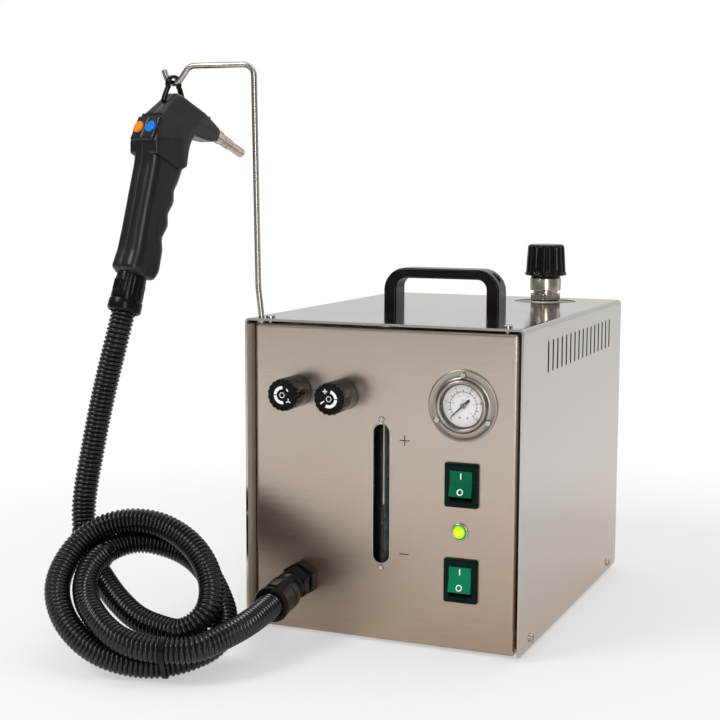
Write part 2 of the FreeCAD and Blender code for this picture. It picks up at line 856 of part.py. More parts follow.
def cap_knob():
    """Tapered grip with upright flutes and a rounded top."""
    knob = Part.makeCone(cap_lower / 2, cap_upper / 2, cap_height, on_filler(boss_top), UP)
    rim = [edge for edge in knob.Edges if edge.BoundBox.ZMin > boss_top + cap_height - 1]
    knob = knob.makeFillet(cap_dome, rim)
    lean = (cap_lower - cap_upper) / 2 / cap_height
    cutters = []
    for step in range(cap_flutes):
        angle = 2 * math.pi * step / cap_flutes
        outward = Vector(math.cos(angle), math.sin(angle), 0)
        foot = on_filler(boss_top) + outward * (cap_lower / 2 + cap_flute / 4)
        cutters.append(rod_shape(cap_flute, cap_height + cut_over, foot, UP - outward * lean))
    return cut_by(knob, cutters)


# ================================================================ boiler
jacket_top = boiler_top - jacket_drop


def on_boiler(z):
    """A point on the boiler's axis."""
    return boiler_axis + UP * z


def boiler_envelope():
    """The boiler's outside without its rounded rims."""
    return rod_shape(boiler_outer, boiler_top - boiler_z, on_boiler(boiler_z), UP)


def boiler_tank():
    """Closed upright drum with three welded legs, a filler hole and a heater hole."""
    drum = boiler_envelope()
    drum = drum.makeFillet(boiler_edge, rims(drum))
    inside = rod_shape(boiler_outer - 2 * boiler_wall, boiler_top - boiler_z - 2 * boiler_wall,
                       on_boiler(boiler_z + boiler_wall), UP)
    inside = inside.makeFillet(boiler_edge - boiler_wall, rims(inside))
    through = 2 * (boiler_wall + cut_over)
    shell = cut_by(drum, [inside, rod_shape(neck_bore, through, on_filler(boiler_top + cut_over), DOWN),
                          rod_shape(heater_spread + heater_tube + 2 * hole_gap, through,
                                    on_boiler(boiler_z - cut_over), UP)])
    legs = []
    for step in range(boiler_legs):
        angle = 2 * math.pi * step / boiler_legs
        foot = boiler_axis + Vector(math.cos(angle), math.sin(angle),
                                    0) * (boiler_leg_ring / 2) + UP * floor_z
        legs.append(rod_shape(boiler_leg, boiler_z - floor_z + boiler_wall / 2, foot, UP))
    return fused([shell] + legs)


def insulation_jacket():
    """Insulating sleeve round the boiler."""
    return ring(boiler_outer + 2 * jacket_thickness, boiler_outer, jacket_top - jacket_z,
                on_boiler(jacket_z), UP)


def heating_element():
    """Flanged heater with a hairpin loop inside the boiler and two terminals below."""
    flange = rod_shape(heater_flange, heater_flange_height, on_boiler(boiler_z), DOWN)
    half = heater_spread / 2
    low = boiler_z
    high = boiler_z + heater_rise
    points = [tuple(boiler_axis + Vector(-half, 0, low)), tuple(boiler_axis + Vector(-half, 0, high)),
              tuple(boiler_axis + Vector(half, 0, high)), tuple(boiler_axis + Vector(half, 0, low))]
    loop = pipe(points, heater_tube, half * 0.9)
    pins = [rod_shape(heater_pin, heater_pin_length,
                      boiler_axis + Vector(x, 0, boiler_z - heater_flange_height), DOWN)
            for x in (-half, half)]
    return fused([flange, loop] + pins)


def safety_valve():
    """Brass relief valve on the boiler's top."""
    foot = Vector(boiler_x - relief_left, boiler_y - relief_front, boiler_top)
    nut = hexagon(relief_hex, relief_hex_height, foot, UP)
    barrel = rod_shape(relief_barrel, relief_barrel_height, foot + UP * relief_hex_height, UP)
    return fused([nut, barrel])


def pressure_switch():
    """Pressure switch on a stub on the boiler's top."""
    foot = Vector(boiler_x + switch_right, boiler_y - switch_front, boiler_top)
    stub = rod_shape(switch_stub, switch_stub_height, foot, UP)
    can = rod_shape(switch_outer, switch_height, foot + UP * switch_stub_height, UP)
    return fused([stub, can])


# ================================================================ sight glass
sight_low = slot_low - sight_overlap
sight_high = slot_high + sight_overlap
sight_y = -panel_y + panel_sheet + sight_tube_back


def sight_backing():
    """Black channel behind the slot, open to the front and at its ends."""
    half = sight_channel / 2
    start_y = -panel_y + panel_sheet
    z_range = (sight_low, sight_high)
    outer = box((slot_x - half, slot_x + half), (start_y, start_y + sight_channel_depth), z_range)
    inner = box((slot_x - half + sight_channel_sheet, slot_x + half - sight_channel_sheet),
                (start_y - cut_over, start_y + sight_channel_depth - sight_channel_sheet),
                (sight_low - cut_over, sight_high + cut_over))
    return outer.cut(inner)


def sight_glass():
    """Glass tube between the two end fittings."""
    return ring(sight_tube, sight_bore, sight_high - sight_low, Vector(slot_x, sight_y, sight_low), UP)


def sight_fittings():
    """Brass blocks at the glass's ends with their pipes to the boiler."""
    half = sight_block / 2
    envelope = boiler_envelope()
    pieces = []
    for z in (sight_low - sight_block_height, sight_high):
        block = box((slot_x - half, slot_x + half), (sight_y - sight_tube_back, sight_y + half),
                    (z, z + sight_block_height))
        start = Vector(slot_x, sight_y, z + sight_block_height / 2)
        line = rod_shape(pipe_outer, boiler_y - sight_y, start, BACK).cut(envelope)
        pieces.append(fused([block, line]))
    return pieces


# ================================================================ valves and steam lines
valve_back = -panel_y + panel_sheet + cut_over + valve_length
port_y = valve_back + valve_port_length
outlet_y = valve_back - valve_outlet_back
solenoid_top = knob_places["left"][1] - solenoid_drop
solenoid_z = solenoid_top - solenoid_block_height
steam_line_z = under_top - steam_line_drop
water_line_z = under_top - water_line_drop


def valve(name):
    """Needle valve behind the panel, with its bonnet and nut in front."""
    x, z = knob_places[name]
    start = front_point(x, z, bonnet_reach)
    neck = rod_shape(bonnet, bonnet_reach + panel_sheet + cut_over, start, BACK)
    nut = hexagon(bonnet_nut, bonnet_nut_height, front_point(x, z), FRONT)
    body = rod_shape(valve_body, valve_length, front_point(x, z, -panel_sheet), BACK)
    port = rod_shape(valve_port, valve_port_length + cut_over, Vector(x, valve_back - cut_over, z), BACK)
    bore = rod_shape(spindle + 2 * shaft_gap, bonnet_reach + spindle_back + body_gap, start, BACK)
    return fused([neck, nut, body, port]).cut(bore)


def solenoid_valves():
    """Two solenoid valves under the needle valves, each with its coil."""
    half = solenoid_block / 2
    valves = []
    for x, _ in knob_places.values():
        block = box((x - half, x + half), (outlet_y - half, outlet_y + half), (solenoid_z, solenoid_top))
        coil = rod_shape(solenoid_coil, solenoid_coil_length,
                         Vector(x, outlet_y + half, solenoid_z + solenoid_block_height / 2), BACK)
        valves.append(fused([block, coil]))
    return Part.makeCompound(valves)


def steam_pipes():
    """Pipes from the boiler to the valves, and on to the gland, with the sight glass's end fittings."""
    left_x, left_z = knob_places["left"]
    right_x, right_z = knob_places["right"]
    turn_y = port_y + 3 * pipe_bend
    steam = pipe([(slot_x + 2 * pipe_outer, boiler_y - 2 * heater_spread, boiler_top),
                  (slot_x + 2 * pipe_outer, boiler_y - 2 * heater_spread, steam_line_z),
                  (right_x, boiler_y - 2 * heater_spread, steam_line_z), (right_x, turn_y, steam_line_z),
                  (right_x, turn_y, right_z), (right_x, port_y, right_z)], pipe_outer, pipe_bend)
    water = pipe([(boiler_x, boiler_y - 2 * heater_spread, boiler_top),
                  (boiler_x, boiler_y - 2 * heater_spread, water_line_z),
                  (left_x, boiler_y - 2 * heater_spread, water_line_z), (left_x, turn_y, water_line_z),
                  (left_x, turn_y, left_z), (left_x, port_y, left_z)], pipe_outer, pipe_bend)
    drops = [rod_shape(pipe_outer, z - valve_body / 2 - solenoid_top + cut_over,
                       Vector(x, outlet_y, solenoid_top), UP)
             for x, z in knob_places.values()]
    gland_end = -panel_y + panel_sheet + gland_spigot_back
    tee_z = (solenoid_z + gland_z) / 2
    main = pipe([(gland_x, outlet_y, solenoid_z), (gland_x, outlet_y, gland_z),
                 (gland_x, gland_end, gland_z)],
                pipe_outer, pipe_tight_bend)
    branch = pipe([(right_x, outlet_y, solenoid_z), (right_x, outlet_y, tee_z), (gland_x, outlet_y, tee_z)],
                  pipe_outer, pipe_bend)
    gauge_back = gauge_barrel_depth - panel_y
    gauge_line = rod_shape(pipe_outer, boiler_y - gauge_back, Vector(gauge_x, gauge_back, gauge_z), BACK)
    gauge_line = gauge_line.cut(boiler_envelope())
    valves = [valve(name) for name in knob_places]
    drops = [cut_by(drop, valves) for drop in drops]
    return Part.makeCompound([steam, water, gauge_line, fused([main, branch])] + drops + sight_fittings())


def knob(name):
    """Knob with a fluted grip, a plain skirt and its spindle in the valve."""
    x, z = knob_places[name]
    skirt = rod_shape(knob_skirt, knob_skirt_length + cut_over, front_point(x, z, knob_stand_off), FRONT)
    grip_start = knob_stand_off + knob_skirt_length
    grip = rod_shape(knob_outer, knob_reach - grip_start, front_point(x, z, grip_start), FRONT)
    grip = grip.makeFillet(knob_edge, rims(grip))
    cutters = []
    for step in range(knob_flutes):
        angle = 2 * math.pi * step / knob_flutes
        outward = Vector(math.cos(angle), 0, math.sin(angle))
        foot = front_point(x, z, grip_start) + outward * (knob_outer / 2 + knob_flute / 4)
        cutters.append(rod_shape(knob_flute, knob_reach, foot, FRONT))
    hollow = rod_shape(knob_hollow, knob_hollow_depth, front_point(x, z, knob_stand_off), FRONT)
    shell = fused([skirt, cut_by(grip, cutters)]).cut(hollow)
    stem_end = knob_stand_off + knob_hollow_depth
    stem = rod_shape(spindle, stem_end + spindle_back + cut_over, front_point(x, z, stem_end + cut_over),
                     BACK)
    return fused([shell, stem])


# ================================================================ gauge
gauge_floor = -gauge_cavity_depth
dial_face = gauge_floor + gauge_dial_sheet


def on_gauge(reach):
    """A point on the gauge's axis, so far in front of the panel."""
    return front_point(gauge_x, gauge_z, reach)


def gauge_case():
    """Flange, bezel and barrel of the gauge in one piece, open at the front."""
    flange = rod_shape(gauge_flange, gauge_flange_sheet, on_gauge(0.0), FRONT)
    bezel = rod_shape(gauge_bezel, gauge_bezel_reach, on_gauge(0.0), FRONT)
    barrel = rod_shape(gauge_barrel, gauge_barrel_depth, on_gauge(0.0), BACK)
    cavity = rod_shape(gauge_bore, gauge_cavity_depth + gauge_bezel_reach, on_gauge(gauge_bezel_reach), BACK)
    holes = [rod_shape(small_screw_shank + 2 * hole_gap, gauge_flange_sheet + panel_sheet, place, BACK)
             for place in gauge_screw_points(gauge_flange_sheet)]
    bearing = rod_shape(needle_pin + 2 * shaft_gap, gauge_dial_sheet + needle_hub, on_gauge(dial_face), BACK)
    return cut_by(fused([flange, bezel, barrel]), [cavity, bearing] + holes)


def gauge_dial():
    """Dial plate at the bottom of the gauge."""
    return ring(gauge_bore, needle_pin + 2 * shaft_gap, gauge_dial_sheet, on_gauge(gauge_floor), FRONT)


def gauge_glass():
    """Window of the gauge."""
    start = gauge_bezel_reach - gauge_glass_sunk
    return rod_shape(gauge_bore, gauge_glass_sheet, on_gauge(start), BACK)


def gauge_needle():
    """Pointer with its hub and pin, at rest on the scale's start."""
    start = dial_face + needle_rise
    half = needle_width / 2
    outline = [Vector(-half, 0, -needle_tail), Vector(half, 0, -needle_tail),
               Vector(half / 3, 0, needle_length),
               Vector(-half / 3, 0, needle_length), Vector(-half, 0, -needle_tail)]
    blade = Part.Face(Part.makePolygon(outline)).extrude(FRONT * needle_sheet)
    blade.rotate(ORIGIN, BACK, needle_rest)
    blade.translate(on_gauge(start))
    hub = rod_shape(needle_hub, needle_hub_height, on_gauge(start), FRONT)
    pin = rod_shape(needle_pin, needle_rise + gauge_dial_sheet + needle_hub / 2, on_gauge(start), BACK)
    return fused([blade, hub, pin])


# ================================================================ switches and lamp
rocker_slack = body_gap * 2


def switch_frame(name):
    """Switch housing with a thick rim in front of the panel and an opening for the rocker."""
    x, z = switch_places[name]
    rim = box((x - frame_width / 2, x + frame_width / 2), (-panel_y - frame_reach, -panel_y),
              (z - frame_height / 2, z + frame_height / 2))
    rim = rounded(rim, frame_edge, lambda b: abs(b.YMax + panel_y + frame_reach) < 0.001
                  or (flat_in(b.XMin, b.XMax) and flat_in(b.ZMin, b.ZMax)))
    body = box((x - frame_body_width / 2, x + frame_body_width / 2), (-panel_y, -panel_y + frame_body_depth),
               (z - frame_body_height / 2, z + frame_body_height / 2))
    half = (rocker_width + rocker_slack) / 2
    well = box((x - half, x + half),
               (-panel_y - frame_reach - cut_over, -panel_y + frame_body_depth - panel_sheet),
               (z - rocker_opening / 2, z + rocker_opening / 2))
    reach = half + rocker_pin_reach + shaft_gap
    pivot = rod_shape(rocker_pin + 2 * shaft_gap, 2 * reach, Vector(x - reach, -panel_y + pivot_depth, z),
                      RIGHT)
    return cut_by(fused([rim, body]), [well, pivot])


def rocker(name):
    """Rocker with a hollow vee face, its upper half pressed in, and two pivot pins."""
    x, z = switch_places[name]
    middle = rocker_nose - rocker_half_height * math.tan(math.radians(rocker_tilt))
    corners = [(-rocker_back, -rocker_back_half), (0.0, -rocker_half_height),
               (rocker_nose, -rocker_half_height),
               (middle, 0.0), (rocker_nose, rocker_half_height), (0.0, rocker_half_height),
               (-rocker_back, rocker_back_half)]
    outline = [Vector(-rocker_width / 2, -forward, up) for forward, up in corners]
    solid = Part.Face(Part.makePolygon(outline + outline[:1])).extrude(RIGHT * rocker_width)
    reach = rocker_width / 2 + body_gap + rocker_pin_reach
    solid = fused([solid, rod_shape(rocker_pin, 2 * reach, Vector(-reach, 0, 0), RIGHT)])
    solid.rotate(ORIGIN, RIGHT, -rocker_tilt)
    solid.translate(front_point(x, z, -pivot_depth))
    return solid


def lamp_bezel_part():
    """Ring and barrel of the pilot lamp."""
    rim = rod_shape(lamp_bezel, lamp_bezel_reach, front_point(lamp_x, lamp_z), FRONT)
    barrel = rod_shape(lamp_barrel, lamp_barrel_depth, front_point(lamp_x, lamp_z), BACK)
    seat = rod_shape(lamp_lens, lamp_bezel_reach + lamp_lens_reach,
                     front_point(lamp_x, lamp_z, lamp_bezel_reach), BACK)
    return fused([rim, barrel]).cut(seat)


def lamp_lens_part():
    """Domed lens of the pilot lamp."""
    lens = rod_shape(lamp_lens, lamp_lens_reach + lamp_lens_reach,
                     front_point(lamp_x, lamp_z, lamp_lens_reach), BACK)
    front_rim = [edge for edge in rims(lens) if edge.BoundBox.YMax < -panel_y]
    return lens.makeFillet(lamp_bezel_reach, front_rim)


# ================================================================ rear fittings
def mains_inlet():
    """Socket for a mains lead, with three flat pins."""
    def slab(width, height, y_range):
        return box((inlet_x - width / 2, inlet_x + width / 2), y_range,
                   (inlet_z - height / 2, inlet_z + height / 2))
    face = panel_y + inlet_flange_reach
    flange = slab(inlet_flange_width, inlet_flange_height, (panel_y, face))
    body = slab(inlet_body_width, inlet_body_height, (face - inlet_depth, face))
    mouth = slab(inlet_mouth_width, inlet_mouth_height, (face - inlet_mouth_depth, face + cut_over))
    pins = []
    for step in (-1, 0, 1):
        pin_x = inlet_x + step * inlet_pin_spread
        pin_y = face - inlet_mouth_depth
        pins.append(box((pin_x - inlet_pin_width / 2, pin_x + inlet_pin_width / 2),
                        (pin_y - cut_over, pin_y + inlet_pin_length),
                        (inlet_z + inlet_pin_rise - inlet_pin_height, inlet_z + inlet_pin_rise)))
    return fused([fused([flange, body]).cut(mouth)] + pins)


def terminal_block():
    """Terminal block on the tray."""
    half_length = terminal_length / 2
    half_width = terminal_width / 2
    return box((terminal_x - half_length, terminal_x + half_length),
               (terminal_y - half_width, terminal_y + half_width),
               (floor_z, floor_z + terminal_height))


drain_y = panel_y + drain_body_length / 2


def drain_valve():
    """Ball valve behind the case with its pipe from the boiler and its outlet."""
    inlet = rod_shape(drain_pipe, panel_y - boiler_y + cut_over, Vector(boiler_x, boiler_y, drain_z), BACK)
    body = rod_shape(drain_body, drain_body_length, Vector(boiler_x, panel_y, drain_z), BACK)
    outlet = rod_shape(drain_pipe, drain_outlet_length,
                       Vector(boiler_x, panel_y + drain_body_length, drain_z), BACK)
    stem = rod_shape(drain_stem, drain_body / 2 + drain_stem_length, Vector(boiler_x, drain_y, drain_z), UP)
    return fused([inlet.cut(boiler_envelope()), body, outlet, stem])


def drain_lever():
    """Lever on the drain valve's stem, at rest across the pipe."""
    foot = Vector(boiler_x, drain_y, drain_z + drain_body / 2 + body_gap)
    half = drain_lever_width / 2
    height = drain_stem_length - body_gap
    hub = rod_shape(drain_hub, height, foot, UP)
    bar = box((boiler_x, boiler_x + drain_lever_length), (drain_y - half, drain_y + half),
              (foot.z + height - drain_lever_sheet, foot.z + height))
    bore = rod_shape(drain_stem + 2 * shaft_gap, height + cut_over, foot, UP)
    return fused([hub, bar]).cut(bore)


# ================================================================ hook rod
def hook_rod():
    """Bent rod that rises from the case and ends in a hook with a dip."""
    foot = rod_foot()
    points = [foot + DOWN * rod_sunk, foot] + [foot + LEFT * left + UP * rise for left, rise in rod_route]
    radii = iter([rod_bend] * (len(rod_route) - 1) + [rod_dip_bend])
    path, _ = bent_path(points, lambda shorter, half_turn: next(radii))
    return swept(path, points, rod)


def hook_nut():
    """Clamping bush under the cover that holds the rod."""
    start = rod_foot() + DOWN * case_sheet
    return ring(rod_nut, rod, rod_nut_height, start, DOWN)


# ================================================================ gland
gland_heading = Vector(0, -math.cos(math.radians(gland_tilt)), -math.sin(math.radians(gland_tilt)))
gland_root = front_point(gland_x, gland_z, gland_nut_height)


def on_gland(reach):
    """A point on the gland's sloping axis, so far from the nut's face."""
    return gland_root + gland_heading * reach


def gland_lock_nut():
    """Hexagonal nut on the panel."""
    nut = hexagon(gland_nut, gland_nut_height, front_point(gland_x, gland_z), FRONT)
    return nut.cut(rod_shape(gland_spigot, gland_nut_height, front_point(gland_x, gland_z), FRONT))


def gland_body_part():
    """Spigot through the panel and the sloping body in front of the nut."""
    start = front_point(gland_x, gland_z, -panel_sheet - gland_spigot_back)
    spigot = rod_shape(gland_spigot, gland_nut_height + panel_sheet + gland_spigot_back, start, FRONT)
    grip = hexagon(gland_hex, gland_hex_length + gland_behind, on_gland(-gland_behind), gland_heading)
    body = rod_shape(gland_body, gland_body_length + gland_behind, on_gland(-gland_behind), gland_heading)
    behind = box((gland_x - gland_body, gland_x + gland_body), (gland_root.y, 0), (0, gland_z + gland_body))
    bore_length = gland_nut_height + panel_sheet + gland_spigot_back + cut_over
    bore = rod_shape(gland_bore, bore_length, start, FRONT)
    return fused([spigot, fused([grip, body]).cut(behind)]).cut(bore)


def gland_collar_part():
    """Snap collar that grips the hose, with its latch."""
    start = gland_body_length
    length = gland_reach - start
    sleeve = rod_shape(gland_collar, length, on_gland(start), gland_heading)
    sleeve = sleeve.makeFillet(collar_edge, rims(sleeve))
    latch = box((-gland_latch_width / 2, gland_latch_width / 2), (0, gland_collar / 2 + gland_latch_height),
                (0, gland_latch_length))
    latch.Placement = FreeCAD.Placement(on_gland(gland_reach - gland_latch_length - gland_latch_height),
                                        FreeCAD.Rotation(RIGHT, UP, gland_heading, "ZXY"))
    mouth = rod_shape(hose + 2 * body_gap, hose_seat, on_gland(gland_reach), gland_heading * -1)
    return fused([sleeve, latch]).cut(mouth)


# ================================================================ hose
def hose_to_gland():
    """Hose from the gland's seat to the coil."""
    start = on_gland(gland_reach - hose_seat)
    return cord("hose_to_gland", [start] + [from_corner(place) for place in gland_route], hose)


def hose_to_gun():
    """Hose from the gun's adapter down to the coil."""
    mouth = in_gun_point(adapter_mouth)
    hanging = [from_corner((right, front, share * mouth.z)) for right, front, share in gun_route]
    start = mouth + (hanging[0] - mouth).normalize() * body_gap
    return cord("hose_to_gun", [start] + hanging, hose)


def hose_coil():
    """Outer shape of the tied coil, leaning on the table."""
    length = coil_below + coil_above
    disc = rod_shape(coil_outer, length, Vector(coil_outer_shift[0], coil_outer_shift[1], -coil_below), UP)
    disc = disc.makeFillet(coil_edge, rims(disc))
    hole = rod_shape(coil_hole, length, Vector(coil_hole_shift[0], coil_hole_shift[1], -coil_below), UP)
    coil = disc.cut(hole)
    coil.rotate(ORIGIN, RIGHT, coil_lean)
    coil.rotate(ORIGIN, UP, coil_yaw)
    coil_centre = from_corner(coil_place)
    coil.translate(coil_centre)
    below = box((-coil_outer, coil_outer), (-coil_outer, coil_outer), (-coil_outer, 0))
    below.translate(Vector(coil_centre.x, coil_centre.y, 0))
    return coil.cut(below)


# ================================================================ steam gun
gun_origin = rod_foot() + LEFT * rod_dip[0] + UP * rod_dip[1]


def in_gun(shape):
    """Carries a shape from the gun's own frame to its place on the hook."""
    shape.rotate(ORIGIN, UP, gun_yaw)
    shape.translate(gun_origin)
    return shape


def in_gun_point(place):
    """A point of the gun's middle plane, from (forward, up), in the model's frame."""
    yaw = math.radians(gun_yaw)
    return gun_origin + Vector(place[0] * math.cos(yaw), place[0] * math.sin(yaw), place[1])


def gun_point(forward, up, left=0.0):
    """A point in the gun's own frame."""
    return Vector(forward, left, up)


def gun_profile(inset):
    """Side view of the gun's housing as a face, drawn in by a wall's thickness."""
    head = [gun_point(*place) for place in gun_head]
    edges = [Part.LineSegment(a, b).toShape() for a, b in zip(head, head[1:])]
    start = head[-1]
    for groove, ridge in gun_fingers:
        end = gun_point(*ridge)
        edges.append(Part.Arc(start, gun_point(*groove), end).toShape())
        start = end
    heel = [start] + [gun_point(*place) for place in gun_heel] + [head[0]]
    edges += [Part.LineSegment(a, b).toShape() for a, b in zip(heel, heel[1:])]
    wire = Part.Wire(edges)
    if inset:
        wire = wire.makeOffset2D(-inset)
    return Part.Face(wire)


def flat_view(outline, normal, half_reach):
    """A prism with a flat outline, drawn out to both sides of it."""
    face = Part.Face(Part.makePolygon(list(outline) + [outline[0]]))
    face.translate(normal * -half_reach)
    return face.extrude(normal * (2 * half_reach))


def mirrored_band(places, corner):
    """Outline of a band given by one side: down that side and up the other."""
    return [corner(half, along) for half, along in places] + [corner(-half, along) for half,
                                                              along in places[::-1]]


def gun_form(inset):
    """The housing's solid: the side view, narrowed to the nose and to the top, and rounded at the grip."""
    half = gun_half - inset
    body = gun_profile(inset)
    body.translate(Vector(0, -half, 0))
    body = body.extrude(Vector(0, 2 * half, 0))
    nose = gun_nose_half - inset
    back = min(place[0] for place in gun_heel) - cut_over
    front = max(place[0] for place in gun_head) + cut_over
    low = min(place[1] for place in gun_heel) - cut_over
    wide = half + cut_over
    plan = mirrored_band(((wide, back), (wide, gun_nose_from), (nose, front)), lambda y, x: Vector(x, y, 0))
    flanks = [(side - inset, z) for side, z in gun_flanks] + [(wide, low)]
    ends = mirrored_band(flanks, lambda y, z: Vector(0, y, z))
    (rear_x, rear_z), (fore_x, fore_z) = gun_split
    slope = (fore_z - rear_z) / (fore_x - rear_x)
    edge_z = [rear_z + inset + slope * (x - rear_x) for x in (back, front)]
    above = [Vector(back, 0, edge_z[0]), Vector(front, 0, edge_z[1]), Vector(front, 0, 0), Vector(back, 0, 0)]
    head = flat_view(plan, UP, -low).common(flat_view(ends, RIGHT, grip_length))
    head = head.common(flat_view(above, BACK, wide))
    grip = box((-grip_depth / 2 + inset, grip_depth / 2 - inset),
               (-grip_width / 2 + inset, grip_width / 2 - inset),
               (-grip_length, 0))
    grip = rounded(grip, grip_round - inset, lambda b: flat_in(b.XMin, b.XMax) and flat_in(b.YMin, b.YMax))
    grip.rotate(ORIGIN, BACK, grip_lean)
    grip.translate(gun_point(*grip_top))
    return body.common(head.fuse(grip))


def gun_hanger():
    """Flat strap bent into an eye over the hook, its feet in the housing."""
    centre_z = strap_eye_z - strap_inner
    outer = strap_inner + strap_sheet
    start = Vector(0, -strap_width / 2, centre_z)
    legs = box((-outer, outer), (-strap_width / 2, strap_width / 2), (strap_foot_z, centre_z))
    solid = legs.fuse(rod_shape(2 * outer, strap_width, start, BACK))
    gap = box((-strap_inner, strap_inner), (-strap_width, strap_width), (strap_foot_z - cut_over, centre_z))
    eye = rod_shape(2 * strap_inner, strap_width, start, BACK)
    return solid.cut(gap).cut(eye).removeSplitter()


def on_block(shape):
    """Carries a shape from the switch block's own frame, X into the gun, to its leaning place."""
    shape.rotate(ORIGIN, BACK, block_lean)
    shape.translate(gun_point(*block_place))
    return shape


def button_hole(name):
    """The well of a button in the switch block."""
    depth = button_length - button_reach + button_travel + body_gap
    start = gun_point(-cut_over, 0, button_places[name])
    return on_block(rod_shape(button + 2 * body_gap, depth + cut_over, start, RIGHT))


def gun_switch_block():
    """Leaning block at the gun's back that carries the two buttons."""
    face = (-block_half, block_half)
    block = box((0, block_depth), face, (-block_half_height, block_half_height))
    block = rounded(block, block_edge, lambda b: b.XMax < block_edge)
    bar = box((-bar_reach, bar_reach), (bar_side, bar_side + bar_width), (-bar_height / 2, bar_height / 2))
    depth = button_length - button_reach + button_travel + body_gap + gun_wall
    backing = box((block_depth, depth), (face[0] + gun_wall, face[1] - gun_wall),
                  (gun_wall - block_half_height, block_half_height - gun_wall))
    pieces = [block, bar, backing] if depth > block_depth else [block, bar]
    return cut_by(on_block(fused(pieces)), [button_hole(name) for name in button_places])


def button_part(name):
    """Round push button."""
    start = gun_point(-button_reach, 0, button_places[name])
    cap = rod_shape(button, button_length, start, RIGHT)
    front_rim = [edge for edge in rims(cap) if edge.BoundBox.XMax < 0]
    return on_block(cap.makeFillet(button_edge, front_rim))


def nozzle_heading():
    """Unit vector along the nozzle in the gun's own frame."""
    return (gun_point(*nozzle_tip) - gun_point(*nozzle_start)).normalize()


def gun_nozzle():
    """Stepped nozzle with its bore, seated in the nose."""
    heading = nozzle_heading()
    start = gun_point(*nozzle_start)
    pieces = []
    reach = 0.0
    for diameter, length in nozzle_steps:
        pieces.append(rod_shape(diameter, length, start + heading * reach, heading))
        reach += length
    bore = rod_shape(nozzle_bore, reach, start, heading)
    return fused(pieces).cut(bore)


def gun_screws():
    """Set screws round the nozzle."""
    heading = nozzle_heading()
    across = Vector(-heading.z, 0, heading.x)
    top_x, top_up, top_y = set_screw_places[0]
    low_x, low_up, low_y = set_screw_places[1]
    length = set_screw_reach + gun_wall * 2
    top_screw = rod_shape(set_screw, length, gun_point(top_x, top_up, top_y) + across * set_screw_reach,
                          across * -1)
    low_screw = rod_shape(set_screw, length, gun_point(low_x, low_up, low_y) - across * set_screw_reach,
                          across)
    return Part.makeCompound([top_screw, low_screw])


def gun_adapter():
    """Snap fitting under the grip that holds the hose's end."""
    top = gun_point(*adapter_top)
    mouth = gun_point(*adapter_mouth)
    heading = (mouth - top).normalize()
    reach = (mouth - top).Length
    neck = rod_shape(adapter_neck, adapter_neck_length + cut_over, top + heading * cut_over, heading * -1)
    grip = hexagon(adapter_hex, adapter_hex_length, top, heading)
    collar = rod_shape(adapter_collar, reach - adapter_hex_length, top + heading * adapter_hex_length,
                       heading)
    return fused([neck, grip, collar.makeFillet(collar_edge, rims(collar))])


def gun_parts():
    """All pieces of the gun in the gun's own frame, by node name."""
    inserts = {"gun_hanger": gun_hanger(), "gun_switch_block": gun_switch_block(),
               "gun_nozzle": gun_nozzle(),
               "gun_adapter": gun_adapter()}
    shell = gun_form(0.0).cut(gun_form(gun_wall))
    shell = cut_by(shell, list(inserts.values()) + [button_hole(name) for name in button_places])
    screws = gun_screws()
    span = (-2 * grip_length, 2 * grip_length)
    halves = {"gun_shell_right": box(span, (-2 * gun_half, 0), span),
              "gun_shell_left": box(span, (0, 2 * gun_half), span)}
    parts = dict(inserts)
    parts["gun_screws"] = screws
    for name, region in halves.items():
        parts[name] = largest(shell.common(region).cut(screws))
    for name in button_places:
        parts["button_" + name] = button_part(name)
    return parts


# ================================================================ all pieces
def all_parts():
    """Every node's shape by its name."""
    panel_screws = [small_screw(place) for place in sight_screw_points()
                    + gauge_screw_points(gauge_flange_sheet)]
    parts = {
        "base_pad": base_pad(), "base_tray": base_tray(), "front_panel": front_panel(),
        "rear_panel": rear_panel(),
        "cover": cover(), "case_screws": case_screws(), "carry_handle": carry_handle(),
        "filler_ring": filler_ring(), "filler_neck": filler_neck(), "filler_washer": filler_washer(),
        "filler_o_ring": filler_o_ring(), "cap_seal": cap_seal(), "cap_collar": cap_collar(),
        "cap_knob": cap_knob(),
        "boiler_tank": boiler_tank(), "insulation_jacket": insulation_jacket(),
        "heating_element": heating_element(),
        "safety_valve": safety_valve(), "pressure_switch": pressure_switch(),
        "sight_backing": sight_backing(), "sight_glass": sight_glass(),
        "panel_screws": Part.makeCompound(panel_screws),
        "solenoid_valves": solenoid_valves(), "steam_pipes": steam_pipes(),
        "gauge_case": gauge_case(), "gauge_dial": gauge_dial(), "gauge_glass": gauge_glass(),
        "gauge_needle": gauge_needle(), "lamp_bezel": lamp_bezel_part(), "lamp_lens": lamp_lens_part(),
        "terminal_block": terminal_block(), "mains_inlet": mains_inlet(), "drain_valve": drain_valve(),
        "drain_lever": drain_lever(), "hook_rod": hook_rod(), "hook_nut": hook_nut(),
        "gland_lock_nut": gland_lock_nut(), "gland_body": gland_body_part(),
        "gland_collar": gland_collar_part(),
        "hose_to_gland": hose_to_gland(), "hose_to_gun": hose_to_gun(), "hose_coil": hose_coil(),
    }
    for name in knob_places:
        parts["valve_" + name] = valve(name)
        parts["knob_" + name] = knob(name)
    for name in switch_places:
        parts["switch_frame_" + name] = switch_frame(name)
        parts["rocker_" + name] = rocker(name)
    for name, shape in gun_parts().items():
        parts[name] = in_gun(shape)
    return parts


def write_parts():
    """Writes one STEP file per node."""
    os.makedirs("parts", exist_ok=True)
    for name, shape in all_parts().items():
        assert shape.isValid(), name
        shape.exportStep("parts/%s.step" % name)
        print("%-20s solids %d volume %.0f" % (name, len(shape.Solids), shape.Volume))


write_parts()
